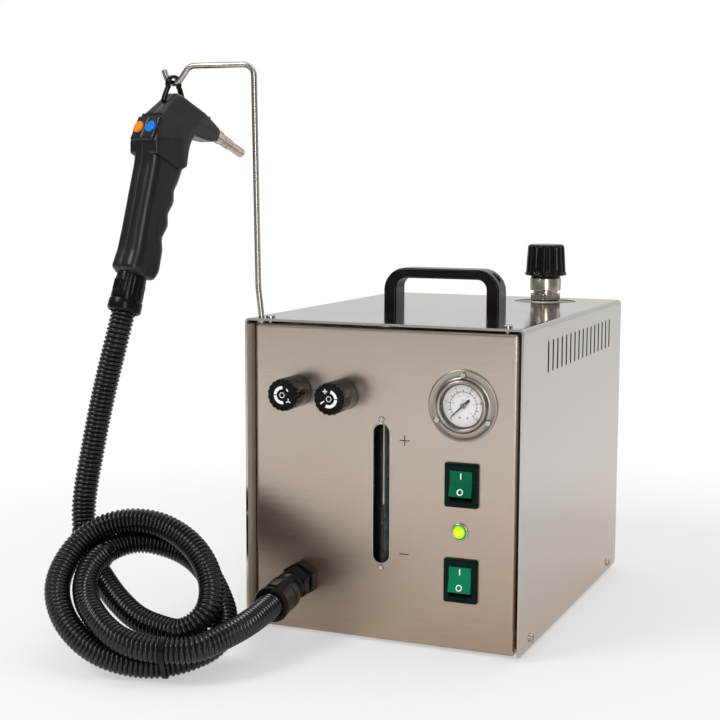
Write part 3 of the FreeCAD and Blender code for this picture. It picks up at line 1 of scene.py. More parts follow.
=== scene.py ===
"""Steam cleaner: finishes, printed marks, gun, gauge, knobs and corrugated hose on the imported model.

Metres. +Z is up, -Y is the front and +X the side with the gauge. The origin is the middle of the base.
"""
from __future__ import annotations

import json
import logging
import math
from collections.abc import Callable, Sequence
from dataclasses import dataclass, replace
from enum import Enum

import bpy
import numpy as np
from mathutils import Euler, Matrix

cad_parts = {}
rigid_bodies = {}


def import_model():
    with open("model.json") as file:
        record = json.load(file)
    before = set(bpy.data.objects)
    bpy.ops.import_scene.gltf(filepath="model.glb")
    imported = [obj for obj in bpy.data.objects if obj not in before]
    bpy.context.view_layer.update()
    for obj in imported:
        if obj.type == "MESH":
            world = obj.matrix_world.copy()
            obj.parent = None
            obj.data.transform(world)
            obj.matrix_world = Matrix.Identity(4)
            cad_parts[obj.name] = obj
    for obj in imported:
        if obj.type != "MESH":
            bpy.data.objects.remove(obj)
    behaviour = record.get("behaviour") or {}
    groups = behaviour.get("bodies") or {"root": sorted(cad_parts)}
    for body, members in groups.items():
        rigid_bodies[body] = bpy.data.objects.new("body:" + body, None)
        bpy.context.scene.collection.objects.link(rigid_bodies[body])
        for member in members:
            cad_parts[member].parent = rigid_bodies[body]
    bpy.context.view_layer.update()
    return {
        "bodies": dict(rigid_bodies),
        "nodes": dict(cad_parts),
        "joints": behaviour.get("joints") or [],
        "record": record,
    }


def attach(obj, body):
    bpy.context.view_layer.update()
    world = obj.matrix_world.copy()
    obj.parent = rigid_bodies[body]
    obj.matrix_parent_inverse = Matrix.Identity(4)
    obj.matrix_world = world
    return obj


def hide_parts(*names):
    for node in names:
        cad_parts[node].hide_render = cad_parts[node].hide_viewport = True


LOG = logging.getLogger("steam_cleaner")
MM = 0.001

Triple = tuple[float, float, float]
Color = Triple
Pairs = Sequence[tuple[float, float]]
Array = np.ndarray


# ---------------------------------------------------------------- shader building
class Value:
    """A number in a shader: one output socket, with the usual arithmetic."""

    def __init__(self, shader: "Shader", socket: bpy.types.NodeSocket) -> None:
        """Wraps a socket of the shader's tree."""
        self.shader = shader
        self.socket = socket

    def _math(self, operation: str, first: object, second: object) -> "Value":
        """Adds a Math node with an operation on two Values or numbers, and returns its output."""
        made = self.shader.node("ShaderNodeMath", {"operation": operation}, {0: first, 1: second})
        return Value(self.shader, made.outputs[0])

    def __add__(self, other: object) -> "Value":
        """self + other."""
        return self._math("ADD", self, other)

    def __radd__(self, other: object) -> "Value":
        """other + self."""
        return self._math("ADD", other, self)

    def __sub__(self, other: object) -> "Value":
        """self - other."""
        return self._math("SUBTRACT", self, other)

    def __rsub__(self, other: object) -> "Value":
        """other - self."""
        return self._math("SUBTRACT", other, self)

    def __mul__(self, other: object) -> "Value":
        """self * other."""
        return self._math("MULTIPLY", self, other)

    def __rmul__(self, other: object) -> "Value":
        """other * self."""
        return self._math("MULTIPLY", other, self)

    def __pow__(self, other: object) -> "Value":
        """self ** other."""
        return self._math("POWER", self, other)

    def __rpow__(self, other: object) -> "Value":
        """other ** self."""
        return self._math("POWER", other, self)

    def clamped(self) -> "Value":
        """The value held between 0 and 1."""
        made = self.shader.node("ShaderNodeClamp", {}, {0: self})
        return Value(self.shader, made.outputs[0])

    def step(self, low: float, high: float) -> "Value":
        """A smooth step.

        Args:
            low: The value below which it is 0.
            high: The value above which it is 1.

        Returns:
            The step's output.
        """
        settings = {"interpolation_type": "SMOOTHSTEP"}
        made = self.shader.node("ShaderNodeMapRange", settings, {0: self, 1: low, 2: high})
        return Value(self.shader, made.outputs[0])


class Shader:
    """Builds one material's nodes."""

    def __init__(self, owner: bpy.types.Material | bpy.types.World) -> None:
        """Empties the nodes and adds the output node.

        Args:
            owner: The material or the world.
        """
        self.owner = owner
        owner.use_nodes = True
        self.tree = owner.node_tree
        self.tree.nodes.clear()
        kind = "ShaderNodeOutputWorld" if isinstance(owner, bpy.types.World) else "ShaderNodeOutputMaterial"
        self.output = self.node(kind, {}, {})

    def node(self, kind: str, settings: dict[str, object], inputs: dict[object, object]) -> bpy.types.Node:
        """Adds a node.

        Args:
            kind: The node's type.
            settings: Its properties, set before its sockets.
            inputs: Socket name or index to a Value, a socket or a plain value.

        Returns:
            The new node.
        """
        made = self.tree.nodes.new(kind)
        for name, setting in settings.items():
            setattr(made, name, setting)
        for name, value in inputs.items():
            self.feed(made.inputs[name], value)
        return made

    def feed(self, socket: bpy.types.NodeSocket, value: object) -> None:
        """Links or sets one input socket.

        Args:
            socket: The socket to feed.
            value: A Value, a socket or a plain value; a colour may leave out its alpha.
        """
        if isinstance(value, Value):
            self.tree.links.new(value.socket, socket)
        elif isinstance(value, bpy.types.NodeSocket):
            self.tree.links.new(value, socket)
        elif isinstance(value, tuple) and socket.type == "RGBA":
            socket.default_value = (*value[:3], 1.0)
        else:
            socket.default_value = value

    def place(self) -> bpy.types.NodeSocket:
        """Object coordinates."""
        return self.node("ShaderNodeTexCoord", {}, {}).outputs["Object"]

    def axes(self) -> tuple[Value, Value, Value]:
        """Splits the object coordinates.

        Returns:
            x, y and z.
        """
        made = self.node("ShaderNodeSeparateXYZ", {}, {0: self.place()})
        x, y, z = (Value(self, socket) for socket in made.outputs)
        return x, y, z

    def noise(self, scale: Color, detail: float = 2.0) -> Value:
        """Noise with its own scale along each axis.

        Args:
            scale: Cycles per metre along x, y and z.
            detail: How many finer layers it has.

        Returns:
            A value round 0.5.
        """
        mapped = self.node("ShaderNodeMapping", {}, {"Vector": self.place(), "Scale": scale})
        made = self.node("ShaderNodeTexNoise", {}, {"Vector": mapped.outputs[0], "Scale": 1.0, "Detail": detail})
        return Value(self, made.outputs[0])

    def mix(self, factor: object, first: object, second: object) -> bpy.types.NodeSocket:
        """A colour between two colours."""
        made = self.node("ShaderNodeMix", {"data_type": "RGBA"}, {0: factor, 6: first, 7: second})
        return made.outputs[2]

    def bump(self, height: Value, strength: float, distance: float) -> bpy.types.NodeSocket:
        """A normal from a height."""
        inputs = {"Height": height, "Strength": strength, "Distance": distance}
        return self.node("ShaderNodeBump", {}, inputs).outputs[0]

    def surface(self, inputs: dict[str, object]) -> bpy.types.Material:
        """Ends the material in a Principled shader.

        Args:
            inputs: The shader's inputs.

        Returns:
            The material.
        """
        made = self.node("ShaderNodeBsdfPrincipled", {}, inputs)
        self.feed(self.output.inputs[0], made.outputs[0])
        return self.owner

    def background_rays(self, glossy_share: object = 1.0) -> Value:
        """How far a ray may see the white backdrop: fully from the camera or through glass.

        Args:
            glossy_share: The share for rays that come off a gloss.

        Returns:
            A value from 0 to 1.
        """
        path = self.node("ShaderNodeLightPath", {}, {})
        camera, glossy, through = (Value(self, path.outputs[name]) for name in
                                   ("Is Camera Ray", "Is Glossy Ray", "Is Transmission Ray"))
        return (camera + through + glossy * glossy_share).clamped()


# ---------------------------------------------------------------- finishes
@dataclass(frozen=True)
class Finish:
    """A finish with a name; each kind below makes its own material once."""

    name: str
    color: Color

    def material(self) -> bpy.types.Material:
        """Makes the material at its first use.

        Returns:
            The finish's material.
        """
        label = "finish_" + self.name
        known = bpy.data.materials.get(label)
        return known if known is not None else self.make(Shader(bpy.data.materials.new(label)))

    def make(self, shader: Shader) -> bpy.types.Material:
        """Builds the nodes; each kind of finish has its own."""
        raise NotImplementedError


@dataclass(frozen=True)
class BrushedSteel(Finish):
    """Sheet steel brushed along one axis, a little darker and warmer towards one end: painted reflection of the
    room.
    """

    painted_shade_color: Color = (0.5, 0.5, 0.5)
    grain: Color = (40.0, 40.0, 2500.0)
    roughness: float = 0.3
    shade_low: float = 0.0
    shade_high: float = 0.27
    streak: float = 0.35
    dent: float = 0.08
    edge: Color = (1.0, 1.0, 1.0)
    cloud_scale: float = 6.0
    line_color: Color = (0.66, 0.62, 0.58)

    def make(self, shader: Shader) -> bpy.types.Material:
        """Brush lines from stretched noise, clouds from wide noise, and a slow fade with height: painted
        reflection of the room.

        Args:
            shader: The empty shader.

        Returns:
            The material.
        """
        _, _, z = shader.axes()
        lines = shader.noise(self.grain, 3.0)
        clouds = shader.noise((self.cloud_scale,) * 3, 2.0)
        # Painted reflection of the room: the colour turns darker and warmer towards the bottom, with random
        # clouds.
        fade = (z.step(self.shade_low, self.shade_high) + (clouds - 0.5) * 0.5).clamped()
        base = shader.mix(fade, self.painted_shade_color, self.color)
        streaked = shader.mix((lines - 0.5) * self.streak + 0.12, base, self.line_color)
        roughness = (lines - 0.5) * 0.15 + self.roughness
        normal = shader.bump(lines, self.dent, 0.0002)
        return shader.surface({"Base Color": streaked, "Metallic": 1.0, "Roughness": roughness,
                               "Normal": normal, "Anisotropic": 0.4, "Specular Tint": self.edge})


@dataclass(frozen=True)
class Metal(Finish):
    """Plain or bright metal with faint smudges, darker where it turns away from the eye."""

    roughness: float = 0.15
    edge: Color = (0.35, 0.33, 0.31)
    dent: float = 0.02
    smudge_scale: float = 120.0
    dent_scale: float = 260.0

    def make(self, shader: Shader) -> bpy.types.Material:
        """Smudges in the colour and the roughness, and faint dents.

        Args:
            shader: The empty shader.

        Returns:
            The material.
        """
        smudge = shader.noise((self.smudge_scale,) * 3, 3.0)
        fine = shader.noise((self.dent_scale,) * 3, 2.0)
        dark = tuple(channel * 0.8 for channel in self.color)
        return shader.surface({"Base Color": shader.mix(smudge, dark, self.color), "Metallic": 1.0,
                               "Roughness": (smudge - 0.5) * 0.08 + self.roughness,
                               "Specular Tint": self.edge,
                               "Normal": shader.bump(fine, self.dent, 0.0001)})


@dataclass(frozen=True)
class Moulded(Finish):
    """Moulded plastic or rubber with a fine grain and slight wear."""

    roughness: float = 0.4
    grain: float = 1800.0
    depth: float = 0.15
    coat: float = 0.0
    gloss: float = 0.3
    patch_scale: float = 60.0

    def make(self, shader: Shader) -> bpy.types.Material:
        """Grain in the bump, patches in the roughness and the colour.

        Args:
            shader: The empty shader.

        Returns:
            The material.
        """
        grain = shader.noise((self.grain,) * 3, 2.0)
        patches = shader.noise((self.patch_scale,) * 3, 3.0)
        light = tuple(min(1.0, channel * 1.25 + 0.004) for channel in self.color)
        return shader.surface({"Base Color": shader.mix(patches, self.color, light),
                               "Roughness": (patches - 0.5) * 0.15 + self.roughness,
                               "Specular IOR Level": self.gloss, "Coat Weight": self.coat,
                               "Coat Roughness": 0.08, "Normal": shader.bump(grain, self.depth, 0.0002)})


@dataclass(frozen=True)
class Lit(Finish):
    """Coloured plastic with light behind it, brightest in the middle."""

    glow: Color = (0.2, 0.9, 0.0)
    strength: float = 1.0
    centre: Color = (0.0, 0.0, 0.0)
    radius: float = 0.006
    rib_scale: float = 900.0

    def make(self, shader: Shader) -> bpy.types.Material:
        """Emission that falls off from the lens's middle, by the distance from its axis.

        Args:
            shader: The empty shader.

        Returns:
            The material.
        """
        x, _, z = shader.axes()
        away = (x - self.centre[0]) ** 2.0 + (z - self.centre[2]) ** 2.0
        middle = 1.0 - away.step(0.0, self.radius ** 2)
        ribs = shader.noise((self.rib_scale,) * 3, 1.0)
        return shader.surface({"Base Color": shader.mix(middle, self.color, self.glow), "Roughness": 0.12,
                               "Emission Color": shader.mix(middle, self.color, self.glow),
                               "Emission Strength": self.strength, "Coat Weight": 0.6,
                               "Normal": shader.bump(ribs, 0.08, 0.0002)})


@dataclass(frozen=True)
class Clear(Finish):
    """Clear glass."""

    alpha: float = 0.12
    dust_scale: float = 300.0

    def make(self, shader: Shader) -> bpy.types.Material:
        """Mostly see-through, with a sharp gloss and faint dust.

        Args:
            shader: The empty shader.

        Returns:
            The material.
        """
        dust = shader.noise((self.dust_scale,) * 3, 3.0)
        return shader.surface({"Base Color": shader.mix(dust, self.color, (1.0, 1.0, 1.0)),
                               "Roughness": (dust - 0.5) * 0.04 + 0.05,
                               "Alpha": (dust - 0.5) * 0.06 + self.alpha, "Coat Weight": 0.3})


class Steel(Enum):
    """The steel finishes."""

    # COVER and PANEL are darker and warmer towards the bottom: painted reflection of the room.
    COVER = BrushedSteel("cover_steel", (0.53, 0.515, 0.49), (0.545, 0.445, 0.37), (12.0, 12.0, 2200.0), 0.12,
                         0.0, 0.16, 0.3, 0.02, (0.95, 0.92, 0.9))
    PANEL = BrushedSteel("panel_steel", (0.67, 0.565, 0.485), (0.41, 0.3, 0.222), (7.0, 1500.0, 2600.0), 0.3,
                         0.0, 0.27, 0.3, 0.03)
    INNER = Metal("inner_steel", (0.45, 0.45, 0.45), 0.35)
    BRIGHT = Metal("bright_steel", (0.6, 0.58, 0.555), 0.14)
    ROD = Metal("rod_steel", (0.56, 0.52, 0.48), 0.26, (0.2, 0.19, 0.17), 0.0, 14.0)
    NICKEL = Metal("nickel", (0.74, 0.67, 0.6), 0.27, (0.4, 0.36, 0.33), 0.0, 40.0)
    GAUGE = Metal("gauge_steel", (0.46, 0.41, 0.365), 0.3, (0.12, 0.11, 0.1))
    RING = Metal("ring_steel", (0.62, 0.6, 0.575), 0.42)
    SCREW = Metal("screw_steel", (0.22, 0.205, 0.19), 0.25, (0.1, 0.1, 0.1))
    BRASS = Metal("brass", (0.62, 0.42, 0.16), 0.3)


class Plastic(Enum):
    """The plastic and rubber finishes."""

    BLACK = Moulded("black_plastic", (0.003, 0.003, 0.003), 0.18, 1500.0, 0.03, 0.05, 0.16)
    KNOB = Moulded("knob_black", (0.001, 0.001, 0.001), 0.1, 1500.0, 0.02, 0.0, 0.13)
    MATT = Moulded("matt_black", (0.002, 0.002, 0.002), 0.24, 1800.0, 0.04, 0.04, 0.16)
    GUN = Moulded("gun_grey", (0.005, 0.0045, 0.0055), 0.32, 1400.0, 0.08, 0.0, 0.42)
    # Pale brown, for the strips inside the cover's front edges: painted reflection of the panel.
    LINING = Moulded("painted_edge_reflection", (0.4, 0.33, 0.27), 0.45, 900.0, 0.05)
    RUBBER = Moulded("black_rubber", (0.008, 0.008, 0.008), 0.5, 1500.0, 0.2)
    HOSE = Moulded("hose_black", (0.0025, 0.0025, 0.003), 0.18, 1500.0, 0.02, 0.15, 0.4)
    PALE = Moulded("pale_plastic", (0.8, 0.77, 0.7), 0.4, 1500.0, 0.1)
    PRINT = Moulded("white_print", (0.85, 0.85, 0.85), 0.45, 1500.0, 0.05)
    BLACK_PRINT = Moulded("black_print", (0.012, 0.012, 0.012), 0.5, 1500.0, 0.05)
    RED_PRINT = Moulded("red_print", (0.7, 0.08, 0.1), 0.5, 1500.0, 0.05)
    WOOL = Moulded("wool", (0.6, 0.55, 0.45), 0.9, 400.0, 0.6)
    DIAL = Moulded("dial_white", (0.86, 0.79, 0.77), 0.5, 1500.0, 0.03)
    FRAME = Moulded("frame_green", (0.0, 0.007, 0.005), 0.2, 1500.0, 0.04, 0.0, 0.08)
    ROCKER = Moulded("rocker_green", (0.0, 0.1, 0.042), 0.22, 1500.0, 0.03, 0.0, 0.1)
    # A lighter copy of the rocker green, for the lower rocker: painted light.
    ROCKER_LIT = Moulded("rocker_green_lit", (0.0, 0.165, 0.07), 0.22, 1500.0, 0.03, 0.0, 0.1)
    ORANGE = Moulded("button_orange", (0.95, 0.2, 0.002), 0.28, 1500.0, 0.04, 0.1, 0.15)
    BLUE = Moulded("button_blue", (0.001, 0.15, 0.62), 0.28, 1500.0, 0.04, 0.1, 0.15)


GLASS = Clear("clear", (0.05, 0.05, 0.055), 0.06)
TUBE = Clear("tube_clear", (0.02, 0.02, 0.02), 0.03)
LAMP = Lit("lamp_green", (0.01, 0.2, 0.0), (0.5, 1.0, 0.0), 0.8, (0.0702, 0.0, 0.1034), 0.0064)

NODE_FINISHES: dict[str, Finish] = {
    "base_pad": Plastic.RUBBER.value, "base_tray": Steel.INNER.value, "front_panel": Steel.PANEL.value,
    "rear_panel": Steel.PANEL.value, "cover": Steel.COVER.value, "case_screws": Steel.BRIGHT.value,
    "carry_handle": Plastic.BLACK.value, "filler_ring": Steel.RING.value, "filler_neck": Steel.NICKEL.value,
    "filler_washer": Plastic.PALE.value, "filler_o_ring": Plastic.RUBBER.value,
    "boiler_tank": Steel.INNER.value, "insulation_jacket": Plastic.WOOL.value,
    "heating_element": Steel.INNER.value, "safety_valve": Steel.BRASS.value,
    "pressure_switch": Plastic.MATT.value, "sight_backing": Plastic.MATT.value, "sight_glass": TUBE,
    "panel_screws": Steel.BRIGHT.value, "valve_left": Steel.BRASS.value, "valve_right": Steel.BRASS.value,
    "solenoid_valves": Plastic.MATT.value, "steam_pipes": Steel.BRASS.value,
    "gauge_case": Steel.BRIGHT.value, "gauge_dial": Plastic.DIAL.value, "gauge_glass": GLASS,
    "gauge_needle": Plastic.BLACK.value, "switch_frame_upper": Plastic.FRAME.value,
    "switch_frame_lower": Plastic.FRAME.value, "rocker_upper": Plastic.ROCKER.value,
    "rocker_lower": Plastic.ROCKER_LIT.value, "lamp_bezel": Steel.BRIGHT.value, "lamp_lens": LAMP,
    "terminal_block": Plastic.PALE.value, "mains_inlet": Plastic.MATT.value,
    "drain_valve": Steel.BRASS.value, "drain_lever": Steel.BRIGHT.value, "hook_rod": Steel.ROD.value,
    "hook_nut": Steel.INNER.value, "gland_lock_nut": Plastic.MATT.value, "gland_body": Plastic.MATT.value,
    "gland_collar": Plastic.MATT.value, "hose_to_gland": Plastic.HOSE.value,
    "hose_to_gun": Plastic.HOSE.value, "hose_coil": Plastic.HOSE.value, "knob_left": Plastic.BLACK.value,
    "knob_right": Plastic.BLACK.value, "cap_seal": Plastic.RUBBER.value, "cap_collar": Steel.NICKEL.value,
    "cap_knob": Plastic.BLACK.value, "gun_shell_left": Plastic.GUN.value,
    "gun_shell_right": Plastic.GUN.value, "gun_switch_block": Plastic.GUN.value,
    "gun_hanger": Plastic.BLACK.value, "gun_nozzle": Steel.NICKEL.value, "gun_adapter": Plastic.MATT.value,
    "gun_screws": Plastic.MATT.value, "button_orange": Plastic.ORANGE.value,
    "button_blue": Plastic.BLUE.value,
}


# ---------------------------------------------------------------- mesh building
UP = np.array([0.0, 0.0, 1.0])
RIGHT = np.array([1.0, 0.0, 0.0])


@dataclass(frozen=True)
class Placing:
    """A local frame in millimetres: an origin in metres and three axes a millimetre long, one per row."""

    origin: Array
    axes: Array

    @classmethod
    def on_front(cls, x: float, z: float, reach: float = 0.0) -> "Placing":
        """A frame on the front panel: local x right, y up, z out of the panel."""
        axes = np.array([RIGHT, UP, [0.0, -1.0, 0.0]]) * MM
        return cls(np.array([x, PANEL_Y - reach, z]) * MM, axes)

    @classmethod
    def along(cls, origin: Array, heading: Array, hint: Array) -> "Placing":
        """A frame whose z runs along a heading; x is as near to the hint as it can be."""
        return cls(np.zeros(3), np.eye(3) * MM).within(origin, heading, hint)

    def within(self, origin: Array, heading: Array, hint: Array) -> "Placing":
        """A frame in this one.

        Args:
            origin: Its origin, in this frame.
            heading: Where its z points, in this frame.
            hint: Where its x points as nearly as it can, in this frame.

        Returns:
            The new frame.
        """
        z = heading / np.linalg.norm(heading)
        x = hint - z * float(hint @ z)
        x = x / np.linalg.norm(x)
        return Placing(self.at(origin), np.array([x, np.cross(z, x), z]) @ self.axes)

    def turned(self, angle: float) -> "Placing":
        """The same frame turned about its own z.

        Args:
            angle: The turn in radians.

        Returns:
            The new frame.
        """
        turn = np.array([[math.cos(angle), math.sin(angle), 0.0], [-math.sin(angle), math.cos(angle), 0.0],
                         [0.0, 0.0, 1.0]])
        return Placing(self.origin, turn @ self.axes)

    def tilted(self, angle: float) -> "Placing":
        """The same frame turned about its own x.

        Args:
            angle: The turn in radians; y goes towards z.

        Returns:
            The new frame.
        """
        turn = np.array([[1.0, 0.0, 0.0], [0.0, math.cos(angle), math.sin(angle)],
                         [0.0, -math.sin(angle), math.cos(angle)]])
        return Placing(self.origin, turn @ self.axes)

    def moved(self, x: float = 0.0, y: float = 0.0, z: float = 0.0) -> "Placing":
        """The same frame moved along its own axes."""
        return Placing(self.at(np.array([x, y, z])), self.axes)

    def at(self, points: Array) -> Array:
        """Local points carried to the model's frame: origin plus each coordinate times its axis."""
        return self.origin + points @ self.axes


PANEL_Y = -162.1
WORLD = Placing(np.zeros(3), np.eye(3))


class Piece:
    """Collects surfaces and makes one mesh object of them."""

    PRINT_DEPTH = 0.02

    def __init__(self, name: str) -> None:
        """Starts an empty piece.

        Args:
            name: The object's name.
        """
        self.name = name
        self.points: list[Array] = []
        self.faces: list[tuple[int, ...]] = []
        self.count = 0

    def add(self, points: Array, faces: list[tuple[int, ...]]) -> None:
        """Adds a closed shape, turned right side out by the sign of its volume.

        The volume is the sum over each face's fan of triangles of a . (b x c) / 6.

        Args:
            points: The points, in the model's frame.
            faces: Each face's points.
        """
        fans = np.array([(face[0], face[k], face[k + 1]) for face in faces for k in range(1, len(face) - 1)])
        a, b, c = points[fans[:, 0]], points[fans[:, 1]], points[fans[:, 2]]
        outward = float(np.sum(a * np.cross(b, c))) > 0
        ordered = faces if outward else [face[::-1] for face in faces]
        self.faces += [tuple(index + self.count for index in face) for face in ordered]
        self.points.append(points)
        self.count += len(points)

    def grid(self, points: Array, closed_rows: bool, caps: bool, placing: Placing = WORLD) -> None:
        """Adds a surface given on a grid of rows and columns; columns always close on themselves.

        Args:
            points: Array of rows, columns and 3, in the placing's frame.
            closed_rows: Whether the last row joins the first.
            caps: Whether the first and the last rows are filled.
            placing: The frame that carries the points.
        """
        rows, columns = points.shape[:2]
        row = np.arange(rows if closed_rows else rows - 1)[:, None]
        column = np.arange(columns)[None, :]
        here, ahead = row * columns, ((row + 1) % rows) * columns
        side = (column + 1) % columns
        quads = np.stack([here + column, here + side, ahead + side, ahead + column], axis=-1)
        faces = [tuple(quad) for quad in quads.reshape(-1, 4).tolist()]
        if caps:
            faces.append(tuple(range(columns))[::-1])
            faces.append(tuple(range((rows - 1) * columns, rows * columns)))
        self.add(placing.at(points.reshape(-1, 3)), faces)

    def lathe(self, profile: Pairs, placing: Placing, segments: int = 64, closed: bool = False) -> None:
        """Adds a turned shape: each profile point (radius, height) goes round local z; an open one is filled."""
        radius, height = np.array(profile).T
        self.turned(height, np.repeat(radius[:, None], segments, axis=1), placing, closed)

    def plate(self, outline: Array, placing: Placing, thickness: float) -> None:
        """Adds a flat plate.

        Args:
            outline: Points in local x and y.
            placing: The frame that carries it.
            thickness: How far it is drawn out along local z.
        """
        low = np.column_stack([outline, np.zeros(len(outline))])
        high = np.column_stack([outline, np.full(len(outline), thickness)])
        self.grid(np.stack([low, high]), False, True, placing)

    def loft(self, outlines: list[Array], heights: list[float], placing: Placing,
             closed: bool = False) -> None:
        """Adds a shape through outlines.

        Args:
            outlines: Outlines with the same count of points.
            heights: Each outline's height along local z.
            placing: The frame that carries it.
            closed: Whether the last outline joins the first; otherwise both are filled.
        """
        rows = [np.column_stack([outline, np.full(len(outline), height)])
                for outline, height in zip(outlines, heights)]
        self.grid(np.stack(rows), closed, not closed, placing)

    def turned(self, heights: Array, radius: Array, placing: Placing, closed: bool = False) -> None:
        """Adds a shape turned round local z, at radius * cos(angle) and radius * sin(angle).

        Args:
            heights: One height for each row.
            radius: Radii in rows (heights) and columns (even angles).
            placing: The frame whose z is the axis.
            closed: Whether the last row joins the first; otherwise both are filled.
        """
        angle = angles(radius.shape[1])
        points = np.stack([radius * np.cos(angle), radius * np.sin(angle),
                           np.repeat(heights[:, None], radius.shape[1], axis=1)], axis=-1)
        self.grid(points, closed, not closed, placing)

    def text(self, words: str, size: float, placing: Placing) -> None:
        """Adds small flat printing, made from the built-in font's outlines.

        Args:
            words: What it says.
            size: The letters' size.
            placing: The frame on whose origin it is centred.
        """
        curve = bpy.data.curves.new("print", "FONT")
        curve.body = words
        curve.size = size
        curve.align_x = "CENTER"
        curve.align_y = "CENTER"
        curve.extrude = self.PRINT_DEPTH
        carrier = bpy.data.objects.new("print", curve)
        bpy.context.scene.collection.objects.link(carrier)
        bpy.context.view_layer.update()
        mesh = bpy.data.meshes.new_from_object(carrier)
        points = np.empty(len(mesh.vertices) * 3)
        mesh.vertices.foreach_get("co", points)
        faces = [tuple(polygon.vertices) for polygon in mesh.polygons]
        self.faces += [tuple(index + self.count for index in face) for face in faces]
        self.points.append(placing.at(points.reshape(-1, 3)))
        self.count += len(mesh.vertices)
        bpy.data.objects.remove(carrier)
        bpy.data.meshes.remove(mesh)
        bpy.data.curves.remove(curve)

    def build(self, body: str, finish: Finish, slot: str, replaces: tuple[str, ...] = (),
              bevel: float = 0.0, sharp: float = 35.0) -> bpy.types.Object:
        """Makes the object, dresses it and lets it ride on a body.

        Args:
            body: The CAD body that carries it.
            finish: Its finish.
            slot: The record's material slot; it is not used.
            replaces: CAD nodes that it stands for.
            bevel: Width of rounded edges in millimetres, or 0.
            sharp: Edges sharper than this many degrees stay sharp in shading.

        Returns:
            The new object.
        """
        mesh = bpy.data.meshes.new(self.name)
        mesh.from_pydata(np.concatenate(self.points).tolist(), [], self.faces)
        mesh.polygons.foreach_set("use_smooth", np.ones(len(mesh.polygons), bool))
        mesh.set_sharp_from_angle(angle=math.radians(sharp))
        mesh.update()
        made = bpy.data.objects.new(self.name, mesh)
        bpy.context.scene.collection.objects.link(made)
        if bevel:
            rounding = made.modifiers.new("edges", "BEVEL")
            rounding.width = bevel * MM
            rounding.segments = 2
            rounding.limit_method = "ANGLE"
            rounding.harden_normals = True
        dress(made, finish)
        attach(made, body)
        if replaces:
            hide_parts(*replaces)
        LOG.info("piece %s on %s, %d faces", self.name, body, len(self.faces))
        return made


def dress(piece: bpy.types.Object, finish: Finish) -> None:
    """Gives a piece its only material.

    Args:
        piece: The object.
        finish: Its finish.
    """
    material = finish.material()
    if len(piece.material_slots) == 0:
        piece.data.materials.append(material)
    for slot in piece.material_slots:
        slot.material = material


# ---------------------------------------------------------------- outlines and steps
def smooth(value: Array, low: float, high: float) -> Array:
    """Smooth step: t * t * (3 - 2 t), where t runs from 0 at low to 1 at high."""
    t = np.clip((np.asarray(value, float) - low) / (high - low), 0.0, 1.0)
    return t * t * (3.0 - 2.0 * t)


def arc_band(radius: float, width: float, start: float, end: float, steps: int = 24) -> Array:
    """Outline of a curved band: out along the outer arc, back along the inner one.

    Args:
        radius: Radius of the band's middle.
        width: The band's width.
        start: Where it starts, in degrees.
        end: Where it ends, in degrees.
        steps: Points on each arc.

    Returns:
        The outline's points.
    """
    angle = np.radians(np.linspace(start, end, steps))
    arc = np.column_stack([np.cos(angle), np.sin(angle)])
    return np.concatenate([arc * (radius + width / 2), (arc * (radius - width / 2))[::-1]])


def bar(start: tuple[float, float], end: tuple[float, float], width: float) -> Array:
    """Outline of a straight bar: the two ends, each moved half a width to both sides.

    Args:
        start: The middle of one end.
        end: The middle of the other.
        width: The bar's width.

    Returns:
        The outline's points.
    """
    a, b = np.array(start), np.array(end)
    along = (b - a) / np.linalg.norm(b - a)
    side = np.array([-along[1], along[0]]) * width / 2
    return np.array([a - side, b - side, b + side, a + side])


def rounded_box(half_width: float, half_height: float, corner: float, steps: int = 6) -> Array:
    """Outline of a rectangle with round corners: each corner's centre plus its quarter circle.

    Args:
        half_width: Half its size in x.
        half_height: Half its size in y.
        corner: The corners' radius.
        steps: Points on each corner.

    Returns:
        The outline's points.
    """
    quarter = np.linspace(0.0, math.pi / 2, steps)
    angle = (np.arange(4)[:, None] * math.pi / 2 + quarter).ravel()
    sign_x = np.repeat([1.0, -1.0, -1.0, 1.0], steps)
    sign_y = np.repeat([1.0, 1.0, -1.0, -1.0], steps)
    return np.column_stack([sign_x * (half_width - corner) + corner * np.cos(angle),
                            sign_y * (half_height - corner) + corner * np.sin(angle)])


def rounded(outline: Array, radius: float, steps: int = 5) -> Array:
    """An outline with each corner replaced by a short parabola.

    The parabola is (1 - t)^2 * enter + 2 * t * (1 - t) * corner + t^2 * leave.

    Args:
        outline: A closed outline.
        radius: How far from the corner the parabola starts and ends.
        steps: Points on each parabola.

    Returns:
        The outline's points.
    """
    before = np.roll(outline, 1, axis=0) - outline
    after = np.roll(outline, -1, axis=0) - outline
    enter = outline + before / np.linalg.norm(before, axis=1)[:, None] * radius
    leave = outline + after / np.linalg.norm(after, axis=1)[:, None] * radius
    t = np.linspace(0.0, 1.0, steps)[None, :, None]
    curve = (1 - t) ** 2 * enter[:, None] + 2 * t * (1 - t) * outline[:, None] + t ** 2 * leave[:, None]
    return curve.reshape(-1, 2)


def shrunk(outline: Array, inset: float) -> Array:
    """An outline drawn in towards its middle, in proportion.

    Args:
        outline: The outline.
        inset: How far its furthest point moves.

    Returns:
        The smaller outline.
    """
    middle = outline.mean(axis=0)
    reach = np.linalg.norm(outline - middle, axis=1).max()
    return middle + (outline - middle) * (1.0 - inset / reach)


def hexagon_radius(angle: Array, across_flats: float) -> Array:
    """Radius of a hexagon: half its width over the cosine of the angle from the nearest flat's middle."""
    off = (angle + math.pi / 6) % (math.pi / 3) - math.pi / 6
    return across_flats / 2 / np.cos(off)


def angles(count: int) -> Array:
    """Evenly spaced angles round a circle."""
    return np.linspace(0.0, 2 * math.pi, count, endpoint=False)


